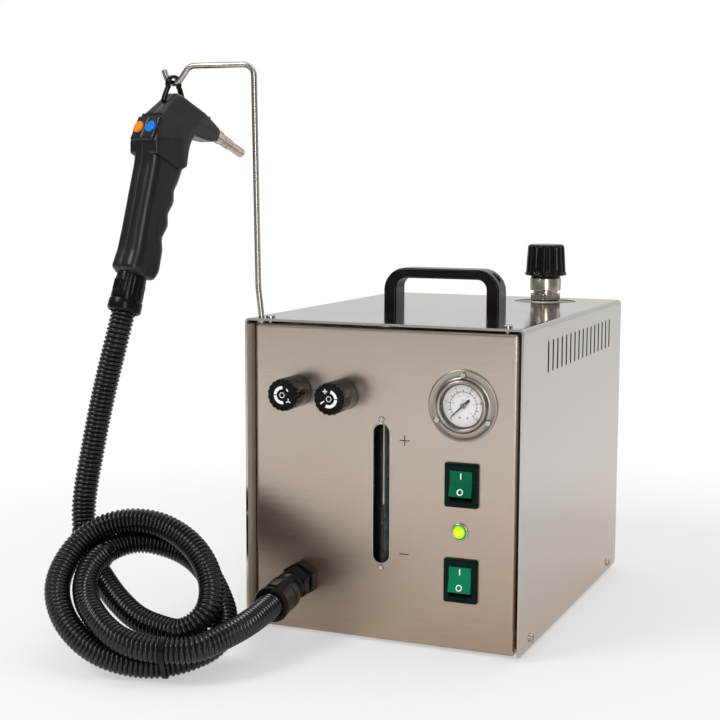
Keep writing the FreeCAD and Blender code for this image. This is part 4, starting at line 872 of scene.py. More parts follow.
def circle(count: int) -> Array:
    """Evenly spaced points on a circle of radius 1."""
    return np.column_stack([np.cos(angles(count)), np.sin(angles(count))])


def reach_along(line: Array) -> Array:
    """How far along a line of points each one lies."""
    return np.concatenate([[0.0], np.cumsum(np.linalg.norm(np.diff(line, axis=0), axis=1))])


# ---------------------------------------------------------------- small fasteners
@dataclass(frozen=True)
class Screw:
    """A domed screw head with a cross recess."""

    head: float = 7.0
    rise: float = 2.0
    depth: float = 1.1
    arm: float = 0.2
    recess: float = 0.75
    turn: float = 0.4
    rings: int = 18
    columns: int = 64

    def add(self, piece: Piece, placing: Placing) -> None:
        """Adds the head.

        Its height over the share s of the radius is rise * (0.45 + 0.55 * sqrt(1 - s * s)), less the depth
        where the nearer of the two cross axes lies within an arm's half width.

        Args:
            piece: The piece that it joins.
            placing: Its frame, with the head's foot at the origin.
        """
        share = np.linspace(0.03, 1.0, self.rings)
        angle = angles(self.columns)
        x, y = share[:, None] * np.cos(angle + self.turn), share[:, None] * np.sin(angle + self.turn)
        cross = 1.0 - smooth(np.minimum(np.abs(x), np.abs(y)), self.arm * 0.6, self.arm * 1.4)
        cross = cross * (1.0 - smooth(share, self.recess * 0.9, self.recess * 1.1))[:, None]
        height = self.rise * (0.45 + 0.55 * np.sqrt(1.0 - share ** 2))[:, None] - self.depth * cross
        rim = np.zeros((1, self.columns))
        shares = np.concatenate([share, [1.0]])[:, None] * self.head / 2
        top = np.stack([shares * np.cos(angle), shares * np.sin(angle), np.concatenate([height, rim])], axis=-1)
        piece.grid(top, False, True, placing)


@dataclass
class CaseScrews:
    """Side and top screws of the case, and the screws at the slot's ends."""

    side_y: float = 135.0
    side_z: float = 12.2
    side_x: float = 125.0
    top_x: float = 107.0
    top_y: float = -155.0
    top_z: float = 274.5
    slot_heights: tuple[float, float] = (193.1, 65.7)
    side_head: Screw = Screw(7.0, 2.0)
    top_head: Screw = Screw(8.0, 2.0)
    slot_head: Screw = Screw(5.2, 1.6, 0.8)

    def build(self) -> None:
        """Heads on the case and on the front panel, each turned by an angle of its own."""
        case = Piece("case_screw_heads")
        for side in (-1.0, 1.0):
            for y in (-self.side_y, self.side_y):
                heading = np.array([side, 0.0, 0.0])
                place = Placing.along(np.array([side * self.side_x, y, self.side_z]), heading, UP)
                replace(self.side_head, turn=0.3 + y * 0.01).add(case, place)
            top = Placing.along(np.array([side * self.top_x, self.top_y, self.top_z]), UP, RIGHT)
            replace(self.top_head, turn=0.9 * side).add(case, top)
        case.build("case", Steel.BRIGHT.value, "bright_steel")
        slot = Piece("slot_screw_heads")
        for z in self.slot_heights:
            replace(self.slot_head, turn=z * 0.01).add(slot, Placing.on_front(0.0, z))
        slot.build("case", Steel.SCREW.value, "bright_steel")


@dataclass
class CoverEdgeReflection:
    """Pale strips on the inner side of the cover's front edges: painted reflection of the panel on the cover's
    inner walls.
    """

    inside_x: float = 123.02
    front_y: float = -168.3
    middle_z: float = 137.0
    depth: float = 15.0
    height: float = 264.0
    thickness: float = 0.15

    def build(self) -> None:
        """A thin upright strip on each side, drawn out towards the middle of the case."""
        edge_reflections = Piece("cover_edge_painted_reflection")
        for side in (-1.0, 1.0):
            edge = np.array([side * self.inside_x, self.front_y, self.middle_z])
            start = Placing.along(edge, np.array([-side, 0.0, 0.0]), UP)
            edge_reflections.plate(bar((0.0, 0.0), (0.0, self.depth * side), self.height), start, self.thickness)
        edge_reflections.build("case", Plastic.LINING.value, "panel_steel")


# ---------------------------------------------------------------- gauge
@dataclass
class Gauge:
    """Pressure gauge: spun case with its bezel, a black seal that also paints shade inside the rim, dial prints,
    pointer and screws.
    """

    x: float = 72.0
    z: float = 209.01
    # Radius and height over the panel.
    profile: Pairs = (
        (19.9, -28.0), (19.9, 0.0), (29.2, 0.0), (29.9, 0.3), (30.0, 0.9), (29.6, 1.5), (28.9, 1.75),
        (28.2, 1.6), (27.6, 1.35), (24.6, 1.3), (23.2, 1.5), (22.2, 2.4), (21.9, 4.0), (21.6, 5.4), (20.9, 6.3),
        (19.9, 6.5), (19.0, 6.3), (18.55, 5.6), (18.4, 4.4), (18.4, -4.5))
    # A black rubber seal inside the rim; it also paints the shade on the bezel's inner wall.
    gasket_and_shade: Pairs = ((17.7, -1.1), (18.39, -1.1), (18.39, 3.9), (18.1, 4.3), (17.85, 3.9), (17.7, 2.6))
    screw_circle: float = 51.0
    screw_angles: tuple[float, ...] = (90.0, 210.0, 330.0)
    screw_foot: float = 1.3
    screw_head: Screw = Screw(5.2, 1.5, 0.8)
    dial_face: float = -1.0
    # Radius and height over the dial.
    card: Pairs = ((18.35, -2.4), (18.35, 0.0), (0.3, 0.0))
    print_rise: float = 0.03
    scale_start: float = 225.0
    scale_sweep: float = 270.0
    scale_radius: float = 11.5
    steps: int = 10
    # Across, up and radius.
    rivets: tuple[Triple, ...] = ((-3.1, -9.9, 0.95), (3.6, -10.1, 0.85))
    needle_rest: float = 227.5
    needle_rise: float = 0.95
    needle_thickness: float = 0.45
    pointer: Pairs = (
        (-7.2, -1.1), (-2.4, -1.1), (0.0, -0.85), (13.6, -0.3), (13.9, 0.0), (13.6, 0.3), (0.0, 0.85),
        (-2.4, 1.1), (-7.2, 1.1), (-7.6, 0.0))
    hub: Pairs = ((0.6, -0.9), (0.6, 0.0), (2.3, 0.0), (2.3, 0.9), (2.0, 1.2), (1.2, 1.35), (0.2, 1.4))

    def dial(self) -> Placing:
        """The frame on the dial's face."""
        return Placing.on_front(self.x, self.z, self.dial_face)

    def case(self) -> None:
        """The spun case, a black seal inside its rim that also paints the shade on the rim's inner wall, and its
        three screws.
        """
        piece = Piece("gauge_bezel")
        piece.lathe(self.profile, Placing.on_front(self.x, self.z), 96)
        piece.build("case", Steel.GAUGE.value, "bright_steel", ("gauge_case",), sharp=50.0)
        gasket_and_shade = Piece("gauge_gasket_and_shade")
        gasket_and_shade.lathe(self.gasket_and_shade, Placing.on_front(self.x, self.z), 96, True)
        gasket_and_shade.build("case", Plastic.RUBBER.value, "black_rubber", sharp=50.0)
        screws = Piece("gauge_screw_heads")
        for degrees in self.screw_angles:
            turn = math.radians(degrees)
            reach = self.screw_circle / 2
            place = Placing.on_front(self.x + reach * math.cos(turn), self.z + reach * math.sin(turn),
                                     self.screw_foot)
            replace(self.screw_head, turn=degrees * 0.01).add(screws, place)
        screws.build("case", Steel.SCREW.value, "bright_steel")

    def numbers(self, piece: Piece, radius: float, size: float, factor: int, every: int) -> None:
        """Adds plain numbers round the dial.

        Args:
            piece: The piece that they join.
            radius: How far from the middle they stand.
            size: The letters' size.
            factor: The number at a step is this many times the step.
            every: Steps from one number to the next.
        """
        for step in range(0, self.steps + 1, every):
            turn = math.radians(self.scale_start - self.scale_sweep * step / self.steps)
            place = self.dial().moved(radius * math.cos(turn), radius * math.sin(turn))
            piece.text(str(step * factor), size, place)

    def prints(self) -> None:
        """Printed card with a black outer scale, a red inner scale, a unit word and rivets."""
        card = Piece("gauge_card")
        card.lathe(self.card, self.dial(), 72)
        card.build("case", Plastic.DIAL.value, "dial_white", sharp=40.0)
        black = Piece("gauge_scale_black")
        line = arc_band(self.scale_radius, 0.4, self.scale_start - self.scale_sweep, self.scale_start, 64)
        black.plate(line, self.dial(), self.print_rise)
        self.scale(black, self.scale_radius, 13.4, 0.6, 1.0)
        self.scale(black, self.scale_radius, 12.5, 0.35, 0.5)
        self.numbers(black, 15.2, 3.3, 1, 2)
        black.build("case", Plastic.BLACK_PRINT.value, "black_plastic")
        red = Piece("gauge_scale_red")
        self.scale(red, 10.5, 11.2, 0.4, 1.0)
        self.numbers(red, 8.9, 1.9, 15, 2)
        red.text("bar", 2.6, self.dial().moved(0.0, 4.5))
        red.build("case", Plastic.RED_PRINT.value, "dial_white")
        rivets = Piece("gauge_rivets")
        for x, y, radius in self.rivets:
            profile = [(radius, 0.0), (radius, 0.25), (radius * 0.7, 0.5), (radius * 0.15, 0.62)]
            rivets.lathe(profile, self.dial().moved(x, y), 24)
        rivets.build("case", Steel.BRASS.value, "brass")

    def scale(self, piece: Piece, inner: float, outer: float, width: float, step: float) -> None:
        """Adds radial bars round the dial.

        Args:
            piece: The piece that they join.
            inner: Where a bar starts.
            outer: Where it ends.
            width: Its width.
            step: Steps of the scale from one bar to the next.
        """
        for position in np.arange(0.0, self.steps + step / 2, step):
            turn = math.radians(self.scale_start - self.scale_sweep * position / self.steps)
            out = np.array([math.cos(turn), math.sin(turn)])
            piece.plate(bar(tuple(out * inner), tuple(out * outer), width), self.dial(), self.print_rise)

    def needle(self) -> None:
        """Tapered pointer with a broad tail, and its hub."""
        turn = math.radians(90.0 - self.needle_rest)
        place = Placing.on_front(self.x, self.z, self.dial_face + self.needle_rise).turned(turn)
        pointer = Piece("gauge_pointer")
        pointer.plate(np.array(self.pointer), place, self.needle_thickness)
        pointer.build("needle", Plastic.BLACK.value, "needle_black", ("gauge_needle",))
        hub = Piece("gauge_pointer_hub")
        hub.lathe(self.hub, place, 32)
        hub.build("needle", Steel.SCREW.value, "bright_steel")

    def build(self) -> None:
        """Builds the whole gauge."""
        self.case()
        self.prints()
        self.needle()


# ---------------------------------------------------------------- knobs
@dataclass
class Knob:
    """A control knob with shallow scallops at its front rim, its spindle and its marks."""

    side: str
    x: float
    z: float
    reach: float = 30.0
    scallops: int = 18
    scallop: float = 0.75
    scallop_from: float = 22.5
    scallop_full: float = 26.0
    face_radius: float = 11.0
    face_depth: float = 0.3
    mark_rise: float = 0.06
    columns: int = 216
    spindle: Pairs = ((2.6, -15.0), (3.0, -14.6), (3.0, 1.6))
    # Height over the panel and radius.
    outline: Pairs = (
        (0.8, 9.5), (0.8, 12.6), (1.3, 13.4), (2.0, 13.6), (8.0, 13.6), (10.8, 13.6), (11.4, 13.75), (16.0, 13.75),
        (20.0, 13.75), (22.5, 13.75), (24.0, 13.8), (25.5, 13.85), (27.0, 13.85), (28.2, 13.85), (28.9, 13.7),
        (29.4, 13.4), (29.8, 12.9), (30.0, 12.3), (30.0, 11.3), (29.75, 10.9), (29.7, 10.3), (29.7, 4.0))

    def body(self) -> None:
        """The grip.

        The radius is the outline's, less scallop * (0.5 + 0.5 * cos(count * angle)) squared, which grows from
        nothing at the scallops' start to full depth at the rim.
        """
        height, radius = np.array(self.outline).T
        angle = angles(self.columns)
        wave = (0.5 + 0.5 * np.cos(self.scallops * angle)) ** 2
        depth = self.scallop * smooth(height, self.scallop_from, self.scallop_full) * (radius > self.face_radius)
        name = "knob_" + self.side
        piece = Piece(name + "_grip")
        piece.turned(height, radius[:, None] - depth[:, None] * wave, Placing.on_front(self.x, self.z))
        piece.build(name, Plastic.KNOB.value, "black_plastic", (name,), sharp=50.0)
        stem = Piece(name + "_spindle")
        stem.lathe(self.spindle, Placing.on_front(self.x, self.z), 32)
        stem.build(name, Steel.NICKEL.value, "nickel")

    def marks(self, plates: list[Array]) -> None:
        """Printed marks on the face, and a hexagon ring in its middle.

        Args:
            plates: Each mark's outline.
        """
        face = Placing.on_front(self.x, self.z, self.reach - self.face_depth)
        piece = Piece("knob_" + self.side + "_marks")
        for outline in plates:
            piece.plate(outline, face, self.mark_rise)
        hexagon = circle(6)
        rows = [hexagon * 2.6, hexagon * 2.6, hexagon * 2.1, hexagon * 2.1]
        piece.loft(rows, [0.0, self.mark_rise, self.mark_rise, 0.0], face, True)
        piece.build("knob_" + self.side, Plastic.PRINT.value, "pale_plastic")


def build_knobs() -> None:
    """Both knobs with their marks."""
    left = Knob("left", -78.4, 212.81)
    left.body()
    left.marks([arc_band(6.3, 2.6, 86.0, 176.0), arc_band(6.3, 2.6, 184.0, 280.0),
                bar((4.0, 5.6), (5.6, 3.4), 0.9), bar((5.8, -4.9), (5.8, -2.6), 0.8),
                bar((5.8, -4.9), (3.9, -6.0), 0.8), bar((5.8, -4.9), (7.7, -6.0), 0.8)])
    right = Knob("right", -35.4, 212.01)
    right.body()
    right.marks([arc_band(6.3, 2.6, 4.0, 75.0), arc_band(6.3, 2.6, -115.0, -4.0),
                 bar((-5.4, 6.2), (-1.4, 6.2), 1.0), bar((-3.4, 4.2), (-3.4, 8.2), 1.0),
                 bar((-7.6, -4.3), (-4.2, -1.9), 1.0)])


# ---------------------------------------------------------------- switches and lamp
@dataclass
class RockerSwitch:
    """Rocker switch: rim, rocker and its printed sign."""

    level: str
    z: float
    x: float = 72.0
    pivot: float = 5.5
    tilt: float = 8.5
    half_width: float = 9.7
    # Half width and half height.
    rim: tuple[float, float] = (14.75, 18.65)
    body: tuple[float, float] = (13.25, 16.5)
    well: tuple[float, ...] = (10.6, 10.05, 9.95, 9.95)
    well_longer: float = 2.75
    pin: tuple[float, float] = (1.5, 11.1)
    sign_up: float = 6.6
    sign_out: float = 10.43
    sign_lean: float = 9.3
    sign_rise: float = 0.07
    # Forward and up, from the pivot.
    side_view: Pairs = (
        (-4.0, -7.0), (0.0, -11.0), (10.4, -11.0), (11.0, -10.4), (10.4, -6.5), (9.7, -2.6), (9.45, 0.0),
        (9.7, 2.6), (10.4, 6.5), (11.0, 10.4), (10.4, 11.0), (0.0, 11.0), (-4.0, 7.0))

    def frame(self) -> None:
        """The rim: rounded rectangles from the panel forward, over the front and down into the well."""
        place = Placing.on_front(self.x, self.z)
        outer = [rounded_box(self.rim[0] - inset, self.rim[1] - inset, 1.8) for inset in (0.0, 0.0, 0.25, 0.9)]
        inner = [rounded_box(half, half + self.well_longer, 0.6) for half in self.well]
        body = [rounded_box(*self.body, 1.0)] * 2
        piece = Piece("switch_rim_" + self.level)
        piece.loft(outer + inner + body, [0.0, 2.1, 2.7, 3.0, 3.0, 2.7, 2.0, -19.0, -19.0, 0.0], place, True)
        piece.build("case", Plastic.FRAME.value, "frame_green", ("switch_frame_" + self.level,), sharp=30.0)

    def rocker(self, finish: Finish) -> None:
        """The rocker: its side view drawn across its width, with rounded edges, its pin and its sign.

        Args:
            finish: The rocker's finish.
        """
        place = Placing.on_front(self.x, self.z, -self.pivot).tilted(-math.radians(self.tilt))
        side = Placing(place.at(np.array([-self.half_width, 0.0, 0.0])), place.axes[[2, 1, 0]])
        piece = Piece("rocker_" + self.level + "_cap")
        piece.plate(np.array(self.side_view), side, 2 * self.half_width)
        radius, half = self.pin
        pin = Placing(place.at(np.array([-half, 0.0, 0.0])), place.axes[[1, 2, 0]])
        piece.lathe([(radius, 0.0), (radius, 2 * half)], pin, 24)
        piece.build("rocker_" + self.level, finish, "rocker_green", ("rocker_" + self.level,), bevel=0.55,
                    sharp=25.0)
        sign = Piece("rocker_" + self.level + "_sign")
        lean, rise = math.radians(self.sign_lean), self.sign_rise
        upper = place.moved(0.0, self.sign_up, self.sign_out).tilted(lean)
        lower = place.moved(0.0, -self.sign_up, self.sign_out).tilted(-lean)
        sign.plate(bar((0.0, -2.6), (0.0, 2.6), 1.0), upper, rise)
        ring = circle(40)
        sign.loft([ring * 2.7, ring * 2.7, ring * 1.85, ring * 1.85], [0.0, rise, rise, 0.0], lower, True)
        sign.build("rocker_" + self.level, Plastic.PRINT.value, "pale_plastic")

    def build(self, finish: Finish) -> None:
        """Builds the switch."""
        self.frame()
        self.rocker(finish)


@dataclass
class PilotLamp:
    """Pilot lamp: turned bezel and domed lens."""

    x: float = 70.6
    z: float = 103.4
    # Radius and height over the panel.
    ring: Pairs = (
        (5.95, -1.6), (5.95, 1.2), (6.2, 1.7), (6.7, 1.85), (7.2, 1.6), (7.5, 0.9), (7.5, 0.0), (6.0, 0.0),
        (6.0, -20.0), (5.0, -20.0), (5.0, -1.6))
    dome: Pairs = (
        (4.9, -3.4), (4.9, -1.6), (5.9, -1.6), (5.9, 1.1), (5.75, 1.9), (5.2, 2.7), (4.4, 3.2), (3.2, 3.5),
        (1.7, 3.7), (0.3, 3.75))

    def build(self) -> None:
        """The bezel is a turned loop; the lens is a dome with a soft step."""
        place = Placing.on_front(self.x, self.z)
        bezel = Piece("lamp_ring")
        bezel.lathe(self.ring, place, 64, True)
        bezel.build("case", Steel.BRIGHT.value, "bright_steel", ("lamp_bezel",), sharp=50.0)
        lens = Piece("lamp_dome")
        lens.lathe(self.dome, place, 64)
        lens.build("case", LAMP, "lamp_green", ("lamp_lens",), sharp=60.0)


# ---------------------------------------------------------------- sight glass
@dataclass
class SightSlot:
    """Sight slot: thin bright lip, a pale and a dim strip behind the tube that paint the tube's glint, and two
    marks beside it.
    """

    low: float = 69.8
    high: float = 189.0
    width: float = 15.0
    lip_insets: tuple[float, ...] = (-1.0, -0.85, -0.35, 0.1, 0.15, 0.1)
    lip_heights: tuple[float, ...] = (0.0, 0.3, 0.42, 0.2, -2.0, -2.2)
    strip_x: float = -3.4
    strip_reach: float = -14.4
    strip_thickness: float = 0.5
    glint_z: float = 152.2
    dim_glint_z: float = 95.5
    mark_x: float = 21.0
    plus_z: float = 176.5
    minus_z: float = 79.5
    mark_rise: float = 0.06

    def stadium(self, inset: float) -> Array:
        """Outline of the slot: two half circles joined by straight sides.

        Args:
            inset: How far it is drawn in.

        Returns:
            The outline's points.
        """
        half_turn = np.linspace(0.0, math.pi, 24)
        radius = self.width / 2 - inset
        rise = (self.high - self.low - self.width) / 2
        top = np.column_stack([radius * np.cos(half_turn), rise + radius * np.sin(half_turn)])
        return np.concatenate([top, -top])

    def build(self) -> None:
        """Builds the lip, the two strips of painted glint and the marks."""
        lips = Piece("slot_edge")
        loop = [self.stadium(inset) for inset in self.lip_insets]
        lips.loft(loop, list(self.lip_heights), Placing.on_front(0.0, (self.low + self.high) / 2), True)
        lips.build("case", Steel.BRIGHT.value, "bright_steel", sharp=60.0)
        # Painted highlight: a pale strip behind the tube stands in for the glass tube's glint in its upper part.
        strip = Piece("sight_glint_strip")
        strip.plate(rounded_box(0.45, 34.7, 0.4), Placing.on_front(self.strip_x, self.glint_z, self.strip_reach),
                    self.strip_thickness)
        strip.build("case", Plastic.PALE.value, "pale_plastic")
        # The dim lower part of the painted glint: a rubber strip a little lighter than the black backing.
        dim_glint = Piece("sight_dim_glint_strip")
        dim_glint.plate(rounded_box(0.4, 21.0, 0.35), Placing.on_front(self.strip_x, self.dim_glint_z, self.strip_reach),
                  self.strip_thickness)
        dim_glint.build("case", Plastic.RUBBER.value, "black_rubber")
        plus, minus = (Placing.on_front(self.mark_x, z) for z in (self.plus_z, self.minus_z))
        marks = Piece("slot_marks")
        marks.plate(bar((-4.5, 0.0), (4.5, 0.0), 0.9), plus, self.mark_rise)
        marks.plate(bar((0.0, -4.5), (0.0, 4.5), 0.9), plus, self.mark_rise + 0.01)
        marks.plate(bar((-4.15, 0.0), (4.15, 0.0), 0.85), minus, self.mark_rise)
        marks.build("case", Plastic.BLACK_PRINT.value, "matt_black")


# ---------------------------------------------------------------- filler cap
@dataclass
class FillerNeck:
    """The filler's threaded neck with its hexagon, and the plate round it."""

    foot: Triple = (60.0, 120.0, 272.5)
    turn: float = 0.2793
    across_flats: float = 28.5
    columns: int = 180
    # Height over the cover's hole and the largest radius there.
    hexagon: Pairs = ((-47.5, 12.0), (4.1, 12.0), (4.1, 15.0), (4.7, 17.0), (8.8, 17.0), (9.4, 15.0), (9.4, 12.0))
    # Radius and height over the cover's hole.
    thread: Pairs = (
        (12.0, 9.4), (12.0, 9.8), (11.2, 10.1), (11.2, 10.7), (12.0, 11.0), (12.0, 11.5), (11.2, 11.8),
        (11.2, 12.4), (12.0, 12.7), (12.0, 13.1), (11.2, 13.4), (11.2, 20.4), (8.0, 20.4), (8.0, 9.4))
    ring: Pairs = (
        (12.2, -1.5), (36.0, -1.5), (36.0, -0.05), (29.6, -0.05), (29.6, 0.95), (29.2, 1.15), (13.4, 1.15),
        (13.4, 0.0), (12.2, 0.0))

    def build(self) -> None:
        """The neck and the plate.

        At each height the hexagon's radius is that of its flats or the largest radius, whichever is less. Its
        turn brings a corner to the front.
        """
        place = Placing.along(np.array(self.foot), UP, RIGHT).turned(self.turn)
        heights, limits = np.array(self.hexagon).T
        flats = hexagon_radius(angles(self.columns), self.across_flats)
        spout = Piece("filler_spout")
        spout.turned(heights, np.minimum(flats[None, :], limits[:, None]), place)
        spout.lathe(self.thread, place, 72, True)
        spout.build("case", Steel.NICKEL.value, "nickel", ("filler_neck",), sharp=30.0)
        plate = Piece("filler_plate")
        plate.lathe(self.ring, place, 96, True)
        plate.build("case", Steel.RING.value, "bright_steel", ("filler_ring",), sharp=40.0)


@dataclass
class FillerCap:
    """Screw cap: grooved knob and turned collar."""

    foot: Triple = (60.0, 120.0, 299.4)
    ribs: int = 12
    groove: float = 1.25
    groove_from: float = 2.6
    groove_full: float = 5.2
    top_radius: float = 15.0
    turn: float = 0.21
    columns: int = 288
    # Radius and height over the knob's foot.
    collar: Pairs = (
        (12.2, -13.8), (14.2, -13.8), (15.0, -12.9), (15.0, -2.7), (14.7, -2.1), (14.0, -1.91), (10.0, -1.9),
        (10.0, 0.0), (6.0, 0.0), (6.0, -3.8), (12.2, -3.8))
    # Height over the knob's foot and radius.
    outline: Pairs = (
        (-1.85, 10.1), (-1.85, 14.4), (0.0, 14.6), (0.9, 15.0), (0.9, 19.4), (1.3, 20.2), (2.0, 20.6), (2.8, 20.4),
        (3.8, 19.95), (5.2, 19.6), (9.0, 19.35), (14.0, 19.05), (19.0, 18.75), (24.0, 18.4), (27.6, 18.15),
        (29.2, 17.9), (30.3, 17.3), (30.9, 16.5), (31.3, 15.4), (31.4, 14.0), (31.3, 12.5), (31.2, 3.0))

    def build(self) -> None:
        """Knob and collar.

        The knob's radius is the outline's, less groove * (0.5 + 0.5 * cos(ribs * angle)) to the fourth power,
        which leaves broad flats between narrow grooves; the grooves fade out at the foot and over the top.
        """
        place = Placing.along(np.array(self.foot), UP, RIGHT)
        height, radius = np.array(self.outline).T
        wave = (0.5 + 0.5 * np.cos(self.ribs * (angles(self.columns) + self.turn))) ** 4
        depth = self.groove * smooth(height, self.groove_from, self.groove_full) * (radius > self.top_radius)
        knob = Piece("cap_grip")
        knob.turned(height, radius[:, None] - depth[:, None] * wave, place)
        knob.build("cap", Plastic.BLACK.value, "black_plastic", ("cap_knob",), sharp=45.0)
        collar = Piece("cap_ring")
        collar.lathe(self.collar, place, 72, True)
        collar.build("cap", Steel.NICKEL.value, "nickel", ("cap_collar",), sharp=40.0)


# ---------------------------------------------------------------- gland
@dataclass
class Gland:
    """Hose gland on the front panel: lock nut, body and snap collar."""

    x: float = -73.0
    z: float = 49.0
    nut: float = 28.0
    nut_height: float = 11.0
    tilt: float = 8.6
    barrel: float = 25.0
    columns: int = 180
    # Radius and height along the slope.
    sleeve: Pairs = (
        (11.2, 24.9), (13.6, 24.9), (14.6, 25.3), (15.0, 26.2), (15.0, 33.4), (14.6, 33.8), (14.6, 34.6),
        (15.0, 35.0), (15.0, 48.6), (15.2, 49.2), (15.6, 50.0), (15.6, 51.8), (15.2, 52.6), (14.4, 53.0),
        (11.6, 53.0), (10.9, 52.4), (10.9, 47.0))

    def heading(self) -> Array:
        """Out of the panel and down by the tilt."""
        return np.array([0.0, -math.cos(math.radians(self.tilt)), -math.sin(math.radians(self.tilt))])

    def hexagon(self, piece: Piece, across: float, heights: list[float], cuts: list[float],
                place: Placing, turn: float = 0.0) -> None:
        """Adds a hexagon with turned chamfers: at each height the radius is the hexagon's or the cut's.

        Args:
            piece: The piece that it joins.
            across: Its width across flats.
            heights: Heights along local z.
            cuts: The largest radius at each height.
            place: Its frame.
            turn: Its turn in radians.
        """
        angle = angles(self.columns) + turn
        flats = hexagon_radius(angle, across)
        radius = np.minimum(flats[None, :], np.array(cuts)[:, None])
        piece.turned(np.array(heights), radius, place)

    def build(self) -> None:
        """Builds the three pieces."""
        root = Placing.on_front(self.x, self.z)
        corner = self.nut / 2 / math.cos(math.pi / 6)
        nut = Piece("gland_nut")
        self.hexagon(nut, self.nut, [0.0, 0.0, 0.6, 1.4, 9.6, 10.5, 11.0, 11.0],
                     [9.2, corner - 1.9, corner - 0.8, corner, corner, corner - 0.8, corner - 2.2, 12.4], root)
        nut.build("case", Plastic.MATT.value, "matt_black", ("gland_lock_nut",), sharp=28.0)
        slope = Placing.along(np.array([self.x, PANEL_Y - self.nut_height, self.z]), self.heading(), UP)
        body = Piece("gland_barrel")
        wide = self.barrel / 2 / math.cos(math.pi / 6)
        heights = [-2.4, -2.4, 0.6, 1.2, 11.6, 12.3, 12.5, 12.5, 13.0, 13.0, 20.0, 20.6, 20.6, 22.6, 22.6, 25.4]
        cuts = [9.0, 11.6, 12.4, wide, wide, wide - 0.7, wide - 1.4, 12.3, 12.3, 12.4, 12.4, 12.1, 11.6, 11.6,
                12.2, 12.2]
        self.hexagon(body, self.barrel, heights, cuts, slope, math.pi / 6)
        body.lathe([(9.0, -26.0), (9.0, 2.0)], root, 48)
        body.build("case", Plastic.MATT.value, "matt_black", ("gland_body",), sharp=28.0)
        collar = Piece("gland_sleeve")
        collar.lathe(self.sleeve, slope, 96, True)
        latch = slope.moved(0.0, 0.0, 38.5)
        outline = rounded_box(4.6, 1.6, 0.5)
        top = Placing(latch.at(np.array([14.6, 0.0, 0.0])), latch.axes[[1, 0, 2]])
        collar.loft([outline, outline, shrunk(outline, 0.4)], [0.0, 8.2, 8.8], top)
        collar.build("case", Plastic.MATT.value, "matt_black", ("gland_collar",))


# ---------------------------------------------------------------- steam gun
GUN_TURN = 73.0
HOOK_DIP = (-200.6, -155.5, 476.0)


def gun_frame() -> Placing:
    """The gun's own frame: origin at the hook's dip, x towards the nozzle, z up.

    Returns:
        The frame.
    """
    turn = math.radians(GUN_TURN)
    forward = np.array([math.cos(turn), math.sin(turn), 0.0])
    axes = np.array([forward, np.cross(UP, forward), UP]) * MM
    return Placing(np.array(HOOK_DIP) * MM, axes)


def resampled(outline: Array, spacing: float) -> Array:
    """A closed outline with its points evenly along it, read between the old ones.

    Args:
        outline: The outline.
        spacing: About how far apart the points lie.

    Returns:
        The new outline.
    """
    loop = np.vstack([outline, outline[:1]])
    lengths = reach_along(loop)
    wanted = np.linspace(0.0, lengths[-1], int(lengths[-1] / spacing), endpoint=False)
    return np.column_stack([np.interp(wanted, lengths, loop[:, k]) for k in range(2)])


def nearest_on(line: Array, points: Array) -> Array:
    """The nearest point of a line for each point: the best of the clamped feet on all its runs.

    Args:
        line: The line's points.
        points: The points that look for it.

    Returns:
        One point on the line for each.
    """
    starts, runs = line[:-1], np.diff(line, axis=0)
    share = np.einsum("prk,rk->pr", points[:, None] - starts[None], runs) / np.sum(runs ** 2, axis=1)
    feet = starts[None] + np.clip(share, 0.0, 1.0)[..., None] * runs[None]
    best = np.argmin(np.linalg.norm(points[:, None] - feet, axis=2), axis=1)
    return feet[np.arange(len(points)), best]


